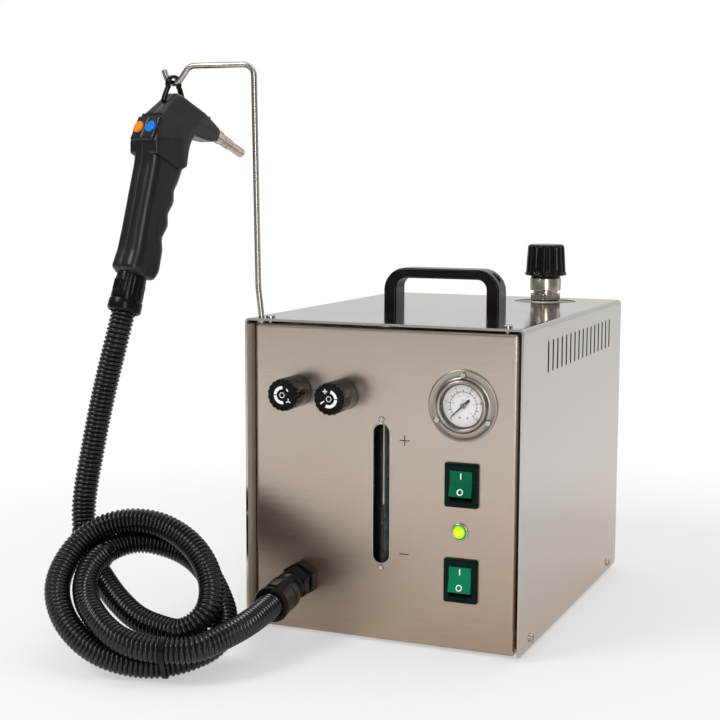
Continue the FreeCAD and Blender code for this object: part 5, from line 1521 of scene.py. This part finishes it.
@dataclass
class GunShell:
    """The gun's housing in two halves: a leaning head over a rounded grip."""

    # Side views and spines, forward and up.
    head_view: Pairs = (
        (-2.5, -8.6), (3.1, -9.4), (33.7, -27.3), (44.0, -33.5), (50.5, -37.6), (52.0, -41.5), (47.5, -49.4),
        (38.0, -49.9), (29.2, -48.4), (12.5, -45.4), (7.5, -51.0), (4.5, -58.0), (2.5, -66.0), (1.2, -72.5),
        (-8.0, -76.0), (-36.9, -61.0), (-36.8, -50.5), (-24.5, -26.4))
    grip_view: Pairs = (
        (-36.5, -55.0), (-8.0, -58.0), (3.6, -62.0), (2.5, -66.0), (1.0, -74.0), (-4.6, -86.1), (-9.9, -94.5),
        (-10.0, -103.8), (-17.4, -114.5), (-17.3, -124.3), (-25.0, -135.0), (-24.7, -144.9), (-30.0, -164.5),
        (-36.0, -170.8), (-59.0, -164.5), (-64.5, -157.5), (-58.1, -142.5), (-38.4, -69.0))
    head_spine: Pairs = (
        (44.0, -42.0), (28.0, -37.0), (10.0, -32.0), (-6.0, -36.0), (-14.0, -50.0), (-17.0, -62.0))
    grip_spine: Pairs = (
        (-16.5, -66.0), (-21.0, -84.0), (-28.0, -108.0), (-36.0, -132.0), (-42.0, -150.0), (-46.0, -157.0))
    flank_up: tuple[float, ...] = (-76.0, -48.0, -26.5, -6.0)
    flank_half: tuple[float, ...] = (17.5, 17.5, 11.5, 6.5)
    nose_from: float = -4.0
    nose_tip: float = 52.0
    nose_half: float = 6.6
    head_round: float = 3.0
    grip_half: float = 15.0
    grip_round: float = 9.0
    heel_more: float = 1.2
    spacing: float = 1.5
    # How far the rows of the seam's groove lie in from the side view and out from the seam.
    seam: Pairs = ((0.4, 0.03), (0.35, 0.1), (0.08, 0.2), (0.0, 0.4))
    shares: tuple[float, ...] = (0.15, 0.3, 0.45, 0.6, 0.75, 0.88, 0.97)

    def head_half(self, points: Array) -> Array:
        """Half width of the head: by height between the flanks, and no more than the nose's taper.

        Args:
            points: Places in the side view.

        Returns:
            The half width at each.
        """
        flank = np.interp(points[..., 1], self.flank_up, self.flank_half)
        taper = np.interp(points[..., 0], (self.nose_from, self.nose_tip), (self.flank_half[0], self.nose_half))
        return np.minimum(flank, taper)

    def grip_wide(self, points: Array) -> Array:
        """Half width of the grip: a little fuller at the heel."""
        return self.grip_half + self.heel_more * smooth(-points[..., 1], 120.0, 160.0)

    def half(self, piece: Piece, view: Pairs, spine: Pairs, wide: Callable[[Array], Array], corner: float,
             radius: float, side: float) -> None:
        """Adds one half of a form.

        From the seam, the rows keep to the side view up to the half width less the radius, then turn inwards
        round a quarter circle: inset radius * (1 - cos t), out by radius * sin t. Then they run in to the
        spine at the half width of the place.

        Args:
            piece: The piece that it joins.
            view: The form's side view.
            spine: The line that its rows run in to.
            wide: The half width at places in the side view.
            corner: How much the side view's corners are rounded.
            radius: How much the edge is rounded.
            side: 1 for the left half and -1 for the right one.
        """
        outline = resampled(rounded(np.array(view), corner), self.spacing)
        centre = nearest_on(np.array(spine), outline)
        inward = centre - outline
        depth = np.linalg.norm(inward, axis=1)[:, None]
        inward = inward / depth
        rows = []
        for inset, out in self.seam:
            flat = outline + inward * inset
            rows.append(np.column_stack([flat[:, 0], np.full(len(flat), out), flat[:, 1]]))
        for turn in np.linspace(0.0, math.pi / 2, 9):
            flat = outline + inward * radius * (1.0 - math.cos(turn))
            half = wide(flat) - radius + radius * math.sin(turn)
            rows.append(np.column_stack([flat[:, 0], half, flat[:, 1]]))
        start = outline + inward * radius
        for share in self.shares:
            flat = start + (centre - start) * share
            rows.append(np.column_stack([flat[:, 0], wide(flat), flat[:, 1]]))
        points = np.stack(rows)
        points[..., 1] *= side
        piece.grid(points, False, True, gun_frame())

    def build(self) -> None:
        """Builds both halves."""
        for name, side in (("left", 1.0), ("right", -1.0)):
            piece = Piece("gun_housing_" + name)
            self.half(piece, self.head_view, self.head_spine, self.head_half, 1.2, self.head_round, side)
            self.half(piece, self.grip_view, self.grip_spine, self.grip_wide, 2.4, self.grip_round, side)
            piece.build("gun", Plastic.GUN.value, "gun_grey", ("gun_shell_" + name,), sharp=60.0)


@dataclass
class GunFittings:
    """Switch block, buttons, hanger, nozzle, set screws and hose fitting of the gun."""

    block_place: tuple[float, float] = (-33.6, -38.9)
    block_lean: float = 28.0
    block_half: tuple[float, float] = (14.2, 11.5)
    button_apart: float = 7.6
    well: float = 5.45
    # Radius and height over the frames.
    button: Pairs = (
        (4.9, -0.3), (5.2, -0.25), (5.2, 1.35), (5.0, 1.85), (4.5, 2.15), (3.9, 2.2), (2.6, 1.95), (0.2, 1.85))
    # Across and up, on both sides of the eye's arch, whose radius is eye.
    eye: float = 6.5
    eye_legs: tuple[Pairs, Pairs] = (
        ((10.5, -13.5), (8.6, -8.5), (7.2, -4.6)), ((-7.6, -5.2), (-9.6, -9.5), (-12.2, -15.5)))
    # Radius and height along the nozzle.
    jet: Pairs = (
        (1.5, 1.0), (6.0, 1.0), (6.0, 9.7), (5.6, 10.5), (5.0, 10.6), (5.0, 12.6), (4.5, 12.8), (4.5, 14.0),
        (5.0, 14.2), (5.0, 17.6), (4.5, 17.8), (4.5, 19.0), (5.0, 19.2), (5.0, 23.0), (4.6, 23.5), (4.2, 23.6),
        (4.2, 39.8), (3.7, 41.2), (2.6, 41.7), (1.5, 41.7))
    set_screw: Pairs = ((2.25, -6.0), (2.25, 3.0), (1.9, 3.4), (1.2, 3.4), (1.2, 1.6))
    nozzle_start: tuple[float, float] = (47.0, -41.7)
    nozzle_tip: tuple[float, float] = (84.6, -59.5)
    adapter_top: tuple[float, float] = (-50.2, -164.0)
    adapter_mouth: tuple[float, float] = (-61.2, -196.8)
    # Height along the fitting and radius.
    adapter: Pairs = (
        (-9.0, 8.8), (-3.4, 8.8), (-3.4, 13.6), (-2.6, 14.1), (-1.6, 14.1), (-1.2, 13.6), (-1.2, 12.5),
        (0.6, 12.7), (8.0, 13.2), (16.0, 13.7), (22.5, 14.0), (23.0, 13.9), (23.0, 13.3), (24.2, 13.3),
        (24.2, 14.2), (25.0, 14.5), (31.5, 14.7), (33.2, 14.4), (34.2, 13.6), (34.6, 12.7), (34.2, 12.4),
        (18.0, 12.4))
    facets: int = 12
    facet_depth: float = 0.55
    columns: int = 192

    def within(self, x: float, z: float, ahead: tuple[float, float], y: float = 0.0) -> Placing:
        """A frame in the gun: z along a forward and up heading, x across to the gun's left."""
        heading = np.array([ahead[0], 0.0, ahead[1]])
        return gun_frame().within(np.array([x, y, z]), heading, np.array([0.0, 1.0, 0.0]))

    def block_face(self) -> Placing:
        """The frame on the switch block's face, which leans back."""
        lean = math.radians(self.block_lean)
        return self.within(*self.block_place, (-math.cos(lean), math.sin(lean)))

    def block(self) -> None:
        """The switch block: a slab with two overlapping frames round the buttons' wells, a bar and a gap.

        Each frame runs from its rounded outline in to a circle; the circle's points lie on the lines from its
        middle to the outline's points.
        """
        face = self.block_face()
        piece = Piece("gun_switch_plate")
        wide, high = self.block_half
        full = rounded_box(wide, high, 1.6)
        piece.loft([shrunk(full, 2.0), full, full], [-6.0, -5.6, -2.4], face)
        piece.loft([rounded_box(1.0, 7.5, 0.6), rounded_box(1.0, 7.5, 0.6), rounded_box(0.7, 7.2, 0.5)],
                   [-0.2, 0.7, 1.0], face.moved(-11.5))
        ring = circle(48)
        for side in (-1.0, 1.0):
            place = face.moved(self.button_apart * side)
            frame = rounded_box(7.5, high, 1.2, 12) - np.array([0.9 * side, 0.0])
            well = frame / np.linalg.norm(frame, axis=1)[:, None] * self.well
            piece.loft([frame, frame, shrunk(frame, 0.5), shrunk(frame, 1.2), well, well],
                       [-2.5, -1.0, -0.3, 0.0, 0.0, -2.5], place, True)
            rows = [ring * radius for radius in (6.6, 6.6, 6.3, 5.6, self.well, self.well)]
            piece.loft(rows, [-0.3, 0.35, 0.6, 0.6, 0.35, -0.3], place, True)
        piece.build("gun", Plastic.GUN.value, "gun_grey", ("gun_switch_block",), sharp=40.0)
        gap = Piece("gun_switch_gap")
        slot = rounded_box(11.5, 1.5, 0.8)
        gap.loft([slot, slot, shrunk(slot, 0.4)], [-4.0, -0.9, -0.6], face.moved(0.0, -12.6))
        gap.build("gun", Plastic.MATT.value, "matt_black", sharp=40.0)

    def buttons(self) -> None:
        """Two round buttons with a shallow hollow."""
        for name, side, finish in (("blue", -1.0, Plastic.BLUE), ("orange", 1.0, Plastic.ORANGE)):
            piece = Piece("push_" + name)
            piece.lathe(self.button, self.block_face().moved(self.button_apart * side), 48)
            piece.build("button_" + name, finish.value, "button_" + name, ("button_" + name,), sharp=50.0)

    def hanger(self) -> None:
        """The hanging eye: a flattened round section carried round an arch, with its legs splayed.

        Each section is a superellipse of power 0.6, 2.8 thick by 5.4 wide.
        """
        turn = np.linspace(-0.12 * math.pi, 1.12 * math.pi, 40)
        arch = np.column_stack([self.eye * np.cos(turn), -0.7 + self.eye * np.sin(turn)])
        path = np.vstack([self.eye_legs[0], arch, self.eye_legs[1]])
        tangent = np.gradient(path, axis=0)
        tangent /= np.linalg.norm(tangent, axis=1)[:, None]
        outward = np.column_stack([-tangent[:, 1], tangent[:, 0]])
        angle = angles(24)
        section = np.stack([np.sign(np.cos(angle)) * np.abs(np.cos(angle)) ** 0.6 * 1.4,
                            np.sign(np.sin(angle)) * np.abs(np.sin(angle)) ** 0.6 * 2.7], axis=-1)
        flat = path[:, None] + outward[:, None] * section[None, :, :1]
        across = np.repeat(section[None, :, 1], len(path), axis=0)
        points = np.stack([flat[..., 0], across, flat[..., 1]], axis=-1)
        piece = Piece("gun_eye")
        piece.grid(points, False, True, gun_frame())
        piece.build("gun", Plastic.BLACK.value, "black_plastic", ("gun_hanger",), sharp=60.0)

    def nozzle(self) -> None:
        """Stepped nozzle with two grooves and a bored tip, and the set screws in the gun's nose."""
        ahead = (self.nozzle_tip[0] - self.nozzle_start[0], self.nozzle_tip[1] - self.nozzle_start[1])
        place = self.within(*self.nozzle_start, ahead)
        piece = Piece("gun_jet")
        piece.lathe(self.jet, place, 48, True)
        piece.build("gun", Steel.NICKEL.value, "nickel", ("gun_nozzle",), sharp=35.0)
        screws = Piece("gun_set_screws")
        across = (-ahead[1], ahead[0])
        screws.lathe(self.set_screw, self.within(41.0, -30.6, across), 32)
        screws.lathe(self.set_screw, self.within(38.0, -46.0, (-across[0], -across[1]), -5.0), 32)
        screws.build("gun", Plastic.MATT.value, "matt_black", ("gun_screws",), sharp=30.0)

    def fitting(self) -> None:
        """Snap fitting under the grip: flange, facets that widen, a rim, a hollow mouth and two latches.

        Between its flange and its rim the radius is less by the depth * (0.5 + 0.5 * cos(facets * angle)) to
        the fourth power.
        """
        ahead = (self.adapter_mouth[0] - self.adapter_top[0], self.adapter_mouth[1] - self.adapter_top[1])
        place = self.within(*self.adapter_top, ahead)
        height, radius = np.array(self.adapter).T
        share = smooth(height, 0.0, 1.5) * (1.0 - smooth(height, 20.5, 22.5))
        wave = (0.5 + 0.5 * np.cos(self.facets * angles(self.columns))) ** 4
        piece = Piece("gun_fitting")
        piece.turned(height, radius[:, None] - self.facet_depth * share[:, None] * wave, place)
        latch = rounded_box(4.4, 5.2, 0.8)
        side = Placing(place.at(np.array([0.0, 0.0, 13.0])), place.axes[[0, 2, 1]])
        for out in (1.0, -1.0):
            view = Placing(side.at(np.array([0.0, 0.0, 12.4 * out])), side.axes * np.array([[1.0], [1.0], [out]]))
            piece.loft([latch, latch, shrunk(latch, 0.7)], [0.0, 1.8, 2.3], view)
        piece.build("gun", Plastic.MATT.value, "matt_black", ("gun_adapter",), sharp=35.0)

    def build(self) -> None:
        """Builds every fitting."""
        self.block()
        self.buttons()
        self.hanger()
        self.nozzle()
        self.fitting()


# ---------------------------------------------------------------- hose
@dataclass
class Hose:
    """Corrugated hose from the gland through the tied coil to the gun, and its cable ties."""

    diameter: float = 21.2 * MM
    groove: float = 1.6 * MM
    pitch: float = 3.8 * MM
    around: int = 28
    per_pitch: int = 8
    # Two places along the hose in millimetres that a tie holds together, and the turn of its head in degrees.
    ties: tuple[Triple, ...] = ((127.4, 512.0, 15.0), (278.6, 1012.7, 200.0), (1049.6, 1049.6, 90.0))
    # A tie's section: distance from the hose's middle and height along it.
    tie_section: Pairs = ((9.9, -2.1), (10.5, -2.1), (10.8, -1.7), (10.8, 1.7), (10.5, 2.1), (9.9, 2.1))
    tie_head: float = 10.5
    exit: Triple = (-0.0730, -0.2254, 0.0411)
    from_gland: tuple[Triple, ...] = (
        (-73.0, -219.6, 42.0), (-73.0, -236.5, 39.5), (-73.0, -254.0, 37.6), (-74.2, -271.0, 36.2),
        (-78.0, -287.5, 34.0), (-84.5, -302.0, 31.0))
    to_gun: tuple[Triple, ...] = (
        (-139.6, -289.5, 31.0), (-165.2, -285.6, 34.9), (-192.6, -273.5, 46.0), (-209.0, -263.5, 54.5),
        (-226.0, -253.0, 64.5), (-239.0, -243.5, 76.0), (-247.0, -237.0, 90.0), (-249.8, -233.5, 108.0),
        (-248.0, -231.5, 129.0), (-244.0, -229.0, 153.0), (-239.8, -226.0, 179.0), (-234.5, -223.5, 206.0),
        (-228.0, -222.0, 232.0), (-220.8, -221.0, 257.5), (-218.5, -214.1, 279.0), (-217.4, -210.4, 290.4))
    centre: Triple = (-160.0, -282.5, 54.9)
    yaw: float = 25.0
    lean: float = 35.0
    step: float = 22.0
    # Angle in the coil's plane in degrees, distance from its centre and height over its plane in mm.
    turns: tuple[Triple, ...] = (
        (668, 80, 11.5), (657, 74, 11.5), (645, 67.3, 11), (632, 61.3, 10), (616.5, 55, 9), (596, 47.5, 7),
        (572, 44.5, 5), (552, 46, 2), (533, 49.4, 0), (509, 56, 0), (497, 60, -3), (486, 66, -6),
        (475.5, 68, -9), (458.5, 69, -9), (436, 64.9, -11), (414, 61.9, -11), (398.5, 59.4, -11),
        (372, 60.5, -12), (365, 62.5, -14), (355, 66, -14), (345, 71, -14), (334, 74, -14), (324, 74.5, -12),
        (311, 72, -10), (300, 67.9, -10), (279, 64.9, -10), (262, 62.3, -9), (244, 61.7, -8),
        (224.5, 62.8, -6), (205, 64.9, -4), (190, 69.4, -2), (174.5, 73.3, 0), (164, 76, 0), (151, 77.3, 2),
        (136, 79.4, 6), (123, 81, 8), (102, 76.6, 10), (88, 71, 11), (65, 62, 11), (45, 57, 11), (25, 55, 9),
        (1, 56, 6), (-7, 57, 5), (-27, 58, 3), (-39, 55.5, -1), (-46.7, 48.1, -6))

    def plane(self) -> tuple[Array, Array, Array]:
        """The coil's plane, from its yaw and its lean.

        Returns:
            Its level axis, its rising axis and its normal.
        """
        yaw, lean = math.radians(self.yaw), math.radians(self.lean)
        level = np.array([math.cos(yaw), math.sin(yaw), 0.0])
        normal = np.array([math.sin(yaw) * math.sin(lean), -math.cos(yaw) * math.sin(lean), math.cos(lean)])
        return level, np.cross(normal, level), normal

    def coil_points(self) -> Array:
        """Points round the coil: each angle's distance and height are read between the stations.

        Returns:
            Control points in millimetres.
        """
        level, rising, normal = self.plane()
        angle, distance, height = np.array(self.turns[::-1]).T
        wanted = np.arange(angle[0], angle[-1], self.step)[::-1]
        wanted = np.concatenate([[angle[-1]], wanted])
        reach, rise = np.interp(wanted, angle, distance), np.interp(wanted, angle, height)
        turn = np.radians(wanted)
        flat = (reach * np.cos(turn))[:, None] * level + (reach * np.sin(turn))[:, None] * rising
        return np.array(self.centre) + flat + rise[:, None] * normal

    def route(self) -> Array:
        """All control points in metres, from the gland to the gun."""
        return np.concatenate([np.array(self.from_gland), self.coil_points(), np.array(self.to_gun)]) * MM

    def line(self) -> Array:
        """Points on the route's smooth line, read from a spline of order 3.

        Returns:
            The points in metres.
        """
        control = self.route()
        curve = bpy.data.curves.new("hose_line", "CURVE")
        curve.dimensions = "3D"
        spline = curve.splines.new("NURBS")
        spline.points.add(len(control) - 1)
        flat = np.column_stack([control, np.ones(len(control))])
        spline.points.foreach_set("co", flat.ravel())
        spline.order_u = 3
        spline.use_endpoint_u = True
        spline.resolution_u = 24
        carrier = bpy.data.objects.new("hose_line", curve)
        bpy.context.scene.collection.objects.link(carrier)
        bpy.context.view_layer.update()
        mesh = bpy.data.meshes.new_from_object(carrier)
        points = np.empty(len(mesh.vertices) * 3)
        mesh.vertices.foreach_get("co", points)
        bpy.data.objects.remove(carrier)
        return points.reshape(-1, 3)

    def build(self) -> bpy.types.Object:
        """Sweeps a round section along the line; its radius falls in a groove once per pitch.

        The section's side axis is the tangent crossed with the coil's normal, and its radius is half the
        diameter less the groove's depth times 1 - |sin|, with half a sine wave to each pitch.

        Returns:
            The hose.
        """
        line = self.line()
        lengths = reach_along(line)
        total = float(lengths[-1])
        rows = int(total / self.pitch) * self.per_pitch + 1
        along = np.linspace(0.0, total, rows)
        path = np.column_stack([np.interp(along, lengths, line[:, k]) for k in range(3)])
        tangent = np.gradient(path, axis=0)
        tangent /= np.linalg.norm(tangent, axis=1)[:, None]
        side = np.cross(tangent, self.plane()[2])
        side /= np.linalg.norm(side, axis=1)[:, None]
        over = np.cross(side, tangent)
        phase = np.arange(rows) / self.per_pitch * 2 * math.pi
        radius = self.diameter / 2 - self.groove * (1.0 - np.abs(np.sin(phase / 2)))
        angle = angles(self.around)
        ring = np.cos(angle)[None, :, None] * side[:, None, :] + np.sin(angle)[None, :, None] * over[:, None, :]
        piece = Piece("hose")
        piece.grid(path[:, None, :] + radius[:, None, None] * ring, False, True)
        made = piece.build("case", Plastic.HOSE.value, "hose_black",
                           ("hose_to_gland", "hose_coil", "hose_to_gun"), sharp=80.0)
        LOG.info("hose length %.3f m", total)
        straps = self.straps(along, path, tangent)
        return made

    def straps(self, along: Array, path: Array, tangent: Array) -> bpy.types.Object:
        """Cable ties round the hose.

        Each is a loop of two half circles about the two places, with straight sides; its section is a flat
        strip. The head is a small box on the loop.

        Args:
            along: How far along the hose each point of the path lies, in metres.
            path: The hose's middle line.
            tangent: Its direction at each point.

        Returns:
            The ties.
        """
        piece = Piece("hose_ties")
        half = np.linspace(-math.pi / 2, math.pi / 2, 16)
        for first, second, turn in self.ties:
            a = path[np.searchsorted(along, first * MM)]
            b = path[np.searchsorted(along, second * MM)]
            heading = tangent[np.searchsorted(along, first * MM)]
            gap = b - a - heading * float(np.dot(b - a, heading))
            reach = float(np.linalg.norm(gap)) / MM
            place = Placing.along(a / MM, heading, gap if reach > 1.0 else UP)
            rows = []
            for out, height in self.tie_section:
                far = np.column_stack([reach + out * np.cos(half), out * np.sin(half)])
                near = np.column_stack([-out * np.cos(half), -out * np.sin(half)])
                loop = np.concatenate([far, near])
                rows.append(np.column_stack([loop, np.full(len(loop), height)]))
            piece.grid(np.stack(rows), True, False, place)
            across, up = math.cos(math.radians(turn)), math.sin(math.radians(turn))
            foot = place.at(np.array([self.tie_head * across, self.tie_head * up, 0.0]))
            outward = across * place.axes[0] + up * place.axes[1]
            head = Placing.along(foot / MM, outward, heading)
            piece.loft([rounded_box(2.9, 2.5, 0.6), rounded_box(2.9, 2.5, 0.6), rounded_box(2.5, 2.1, 0.5)],
                       [-0.6, 3.0, 3.7], head)
        return piece.build("case", Plastic.BLACK.value, "black_plastic", sharp=35.0)


# ---------------------------------------------------------------- studio
@dataclass(frozen=True)
class Lamp:
    """A soft light box that faces a target; its power is in watts."""

    name: str
    place: Triple
    target: Triple
    size: tuple[float, float]
    power: float

    def build(self) -> None:
        """Makes the light, turned from straight down by the angle of its aim and then about Z."""
        data = bpy.data.lights.new(self.name, "AREA")
        data.shape = "RECTANGLE"
        data.size, data.size_y = self.size
        data.energy = self.power
        made = bpy.data.objects.new(self.name, data)
        made.location = self.place
        aim = np.array(self.target) - np.array(self.place)
        flat = math.hypot(aim[0], aim[1])
        made.rotation_euler = (math.atan2(flat, -aim[2]), 0.0, math.atan2(-aim[0], aim[1]))
        bpy.context.scene.collection.objects.link(made)


@dataclass
class Studio:
    """Camera, floor, backdrop and lights."""

    eye: Triple = (0.45885, -1.29093, 0.38948)
    azimuth: float = 22.981
    drop: float = 6.843
    roll: float = 0.194
    lens: float = 73.44
    floor_size: float = 12.0
    ambient: float = 0.5
    room: float = 0.15
    backdrop: float = 0.7
    ceiling: float = 0.3
    # The floor's paint under the object takes this share of white, and all of it beyond the second distance.
    floor_white: float = 0.45
    white_from: tuple[float, float] = (0.35, 0.8)
    lamps: tuple[Lamp, ...] = (
        Lamp("key", (-1.2, -1.5, 1.9), (0.0, -0.1, 0.15), (0.9, 0.9), 22.0),
        Lamp("strip", (0.95, -1.9, 0.75), (-0.05, -0.1, 0.25), (0.4, 1.3), 12.0),
        Lamp("top", (0.2, 0.5, 2.0), (0.0, 0.0, 0.2), (2.6, 2.0), 16.0))

    def camera(self) -> None:
        """Makes the camera: a turn about its own view axis, a tilt down and a turn about Z."""
        lens = bpy.data.cameras.new("camera")
        lens.lens = self.lens
        lens.sensor_width = 36.0
        lens.clip_end = 50.0
        made = bpy.data.objects.new("camera", lens)
        bpy.context.scene.collection.objects.link(made)
        turn = Euler((math.radians(90 - self.drop), 0.0, math.radians(self.azimuth)), "XYZ").to_matrix()
        made.rotation_euler = (turn @ Euler((0.0, 0.0, math.radians(self.roll)), "XYZ").to_matrix()).to_euler()
        made.location = self.eye
        bpy.context.scene.camera = made

    def floor_material(self) -> bpy.types.Material:
        """Pale paint; far from the object it turns to plain white for camera, mirror and glass rays.

        Returns:
            The material.
        """
        shader = Shader(bpy.data.materials.new("floor"))
        paint = shader.node("ShaderNodeBsdfPrincipled", {}, {"Base Color": (0.86, 0.86, 0.86), "Roughness": 0.7})
        glow = shader.node("ShaderNodeEmission", {}, {"Strength": 1.0})
        away = shader.node("ShaderNodeVectorMath", {"operation": "LENGTH"}, {0: shader.place()})
        white = self.floor_white
        far = Value(shader, away.outputs["Value"]).step(*self.white_from) * (1.0 - white) + white
        behind = shader.axes()[1].step(-0.9, 0.1) * self.backdrop
        inputs = {0: shader.background_rays(behind) * far, 1: paint.outputs[0], 2: glow.outputs[0]}
        mixed = shader.node("ShaderNodeMixShader", {}, inputs)
        shader.feed(shader.output.inputs[0], mixed.outputs[0])
        return shader.owner

    def floor(self) -> None:
        """A plain pale floor."""
        half = self.floor_size / 2
        mesh = bpy.data.meshes.new("floor")
        corners = [(-half, -half, 0.0), (half, -half, 0.0), (half, half, 0.0), (-half, half, 0.0)]
        mesh.from_pydata(corners, [], [(0, 1, 2, 3)])
        mesh.materials.append(self.floor_material())
        made = bpy.data.objects.new("floor", mesh)
        bpy.context.scene.collection.objects.link(made)

    def world(self) -> None:
        """White for camera, mirror and glass rays that pass everything, a plain grey light for the rest.

        A gloss sees the pale backdrop behind the object, a grey ceiling and the dim room in front.
        """
        shader = Shader(bpy.data.worlds.new("studio"))
        direction = shader.node("ShaderNodeTexCoord", {}, {}).outputs["Generated"]
        split = shader.node("ShaderNodeSeparateXYZ", {}, {0: direction})
        behind = Value(shader, split.outputs[1]).step(0.15, 0.7) * self.backdrop
        above = Value(shader, split.outputs[2]).step(0.2, 0.7) * self.ceiling
        path = shader.node("ShaderNodeLightPath", {}, {})
        dim = 1.0 - Value(shader, path.outputs["Is Glossy Ray"]) * (1.0 - self.room / self.ambient)
        share = (behind + above).clamped()
        strength = shader.background_rays(share) * (1.0 - self.ambient * dim) + self.ambient * dim
        light = shader.node("ShaderNodeBackground", {}, {"Color": (1.0, 1.0, 1.0), "Strength": strength})
        shader.feed(shader.output.inputs[0], light.outputs[0])
        bpy.context.scene.world = shader.owner

    def build(self) -> None:
        """Sets the stage up and keeps the plain view transform."""
        bpy.context.scene.view_settings.view_transform = "Standard"
        self.camera()
        self.floor()
        self.world()
        for lamp in self.lamps:
            lamp.build()


# ---------------------------------------------------------------- main
def dress_nodes(nodes: dict[str, bpy.types.Object]) -> None:
    """Gives every CAD node its finish.

    Args:
        nodes: The nodes by name.
    """
    for name, finish in NODE_FINISHES.items():
        dress(nodes[name], finish)
    LOG.info("dressed %d nodes", len(NODE_FINISHES))


def main() -> None:
    """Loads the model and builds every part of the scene."""
    logging.basicConfig(level=logging.INFO, format="%(name)s: %(message)s")
    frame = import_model()
    Studio().build()
    Hose().build()
    dress_nodes(frame["nodes"])
    CaseScrews().build()
    CoverEdgeReflection().build()
    Gauge().build()
    build_knobs()
    RockerSwitch("upper", 142.91).build(Plastic.ROCKER.value)
    RockerSwitch("lower", 62.21).build(Plastic.ROCKER_LIT.value)
    PilotLamp().build()
    SightSlot().build()
    FillerNeck().build()
    FillerCap().build()
    Gland().build()
    GunShell().build()
    GunFittings().build()


if __name__ == "__main__":
    main()
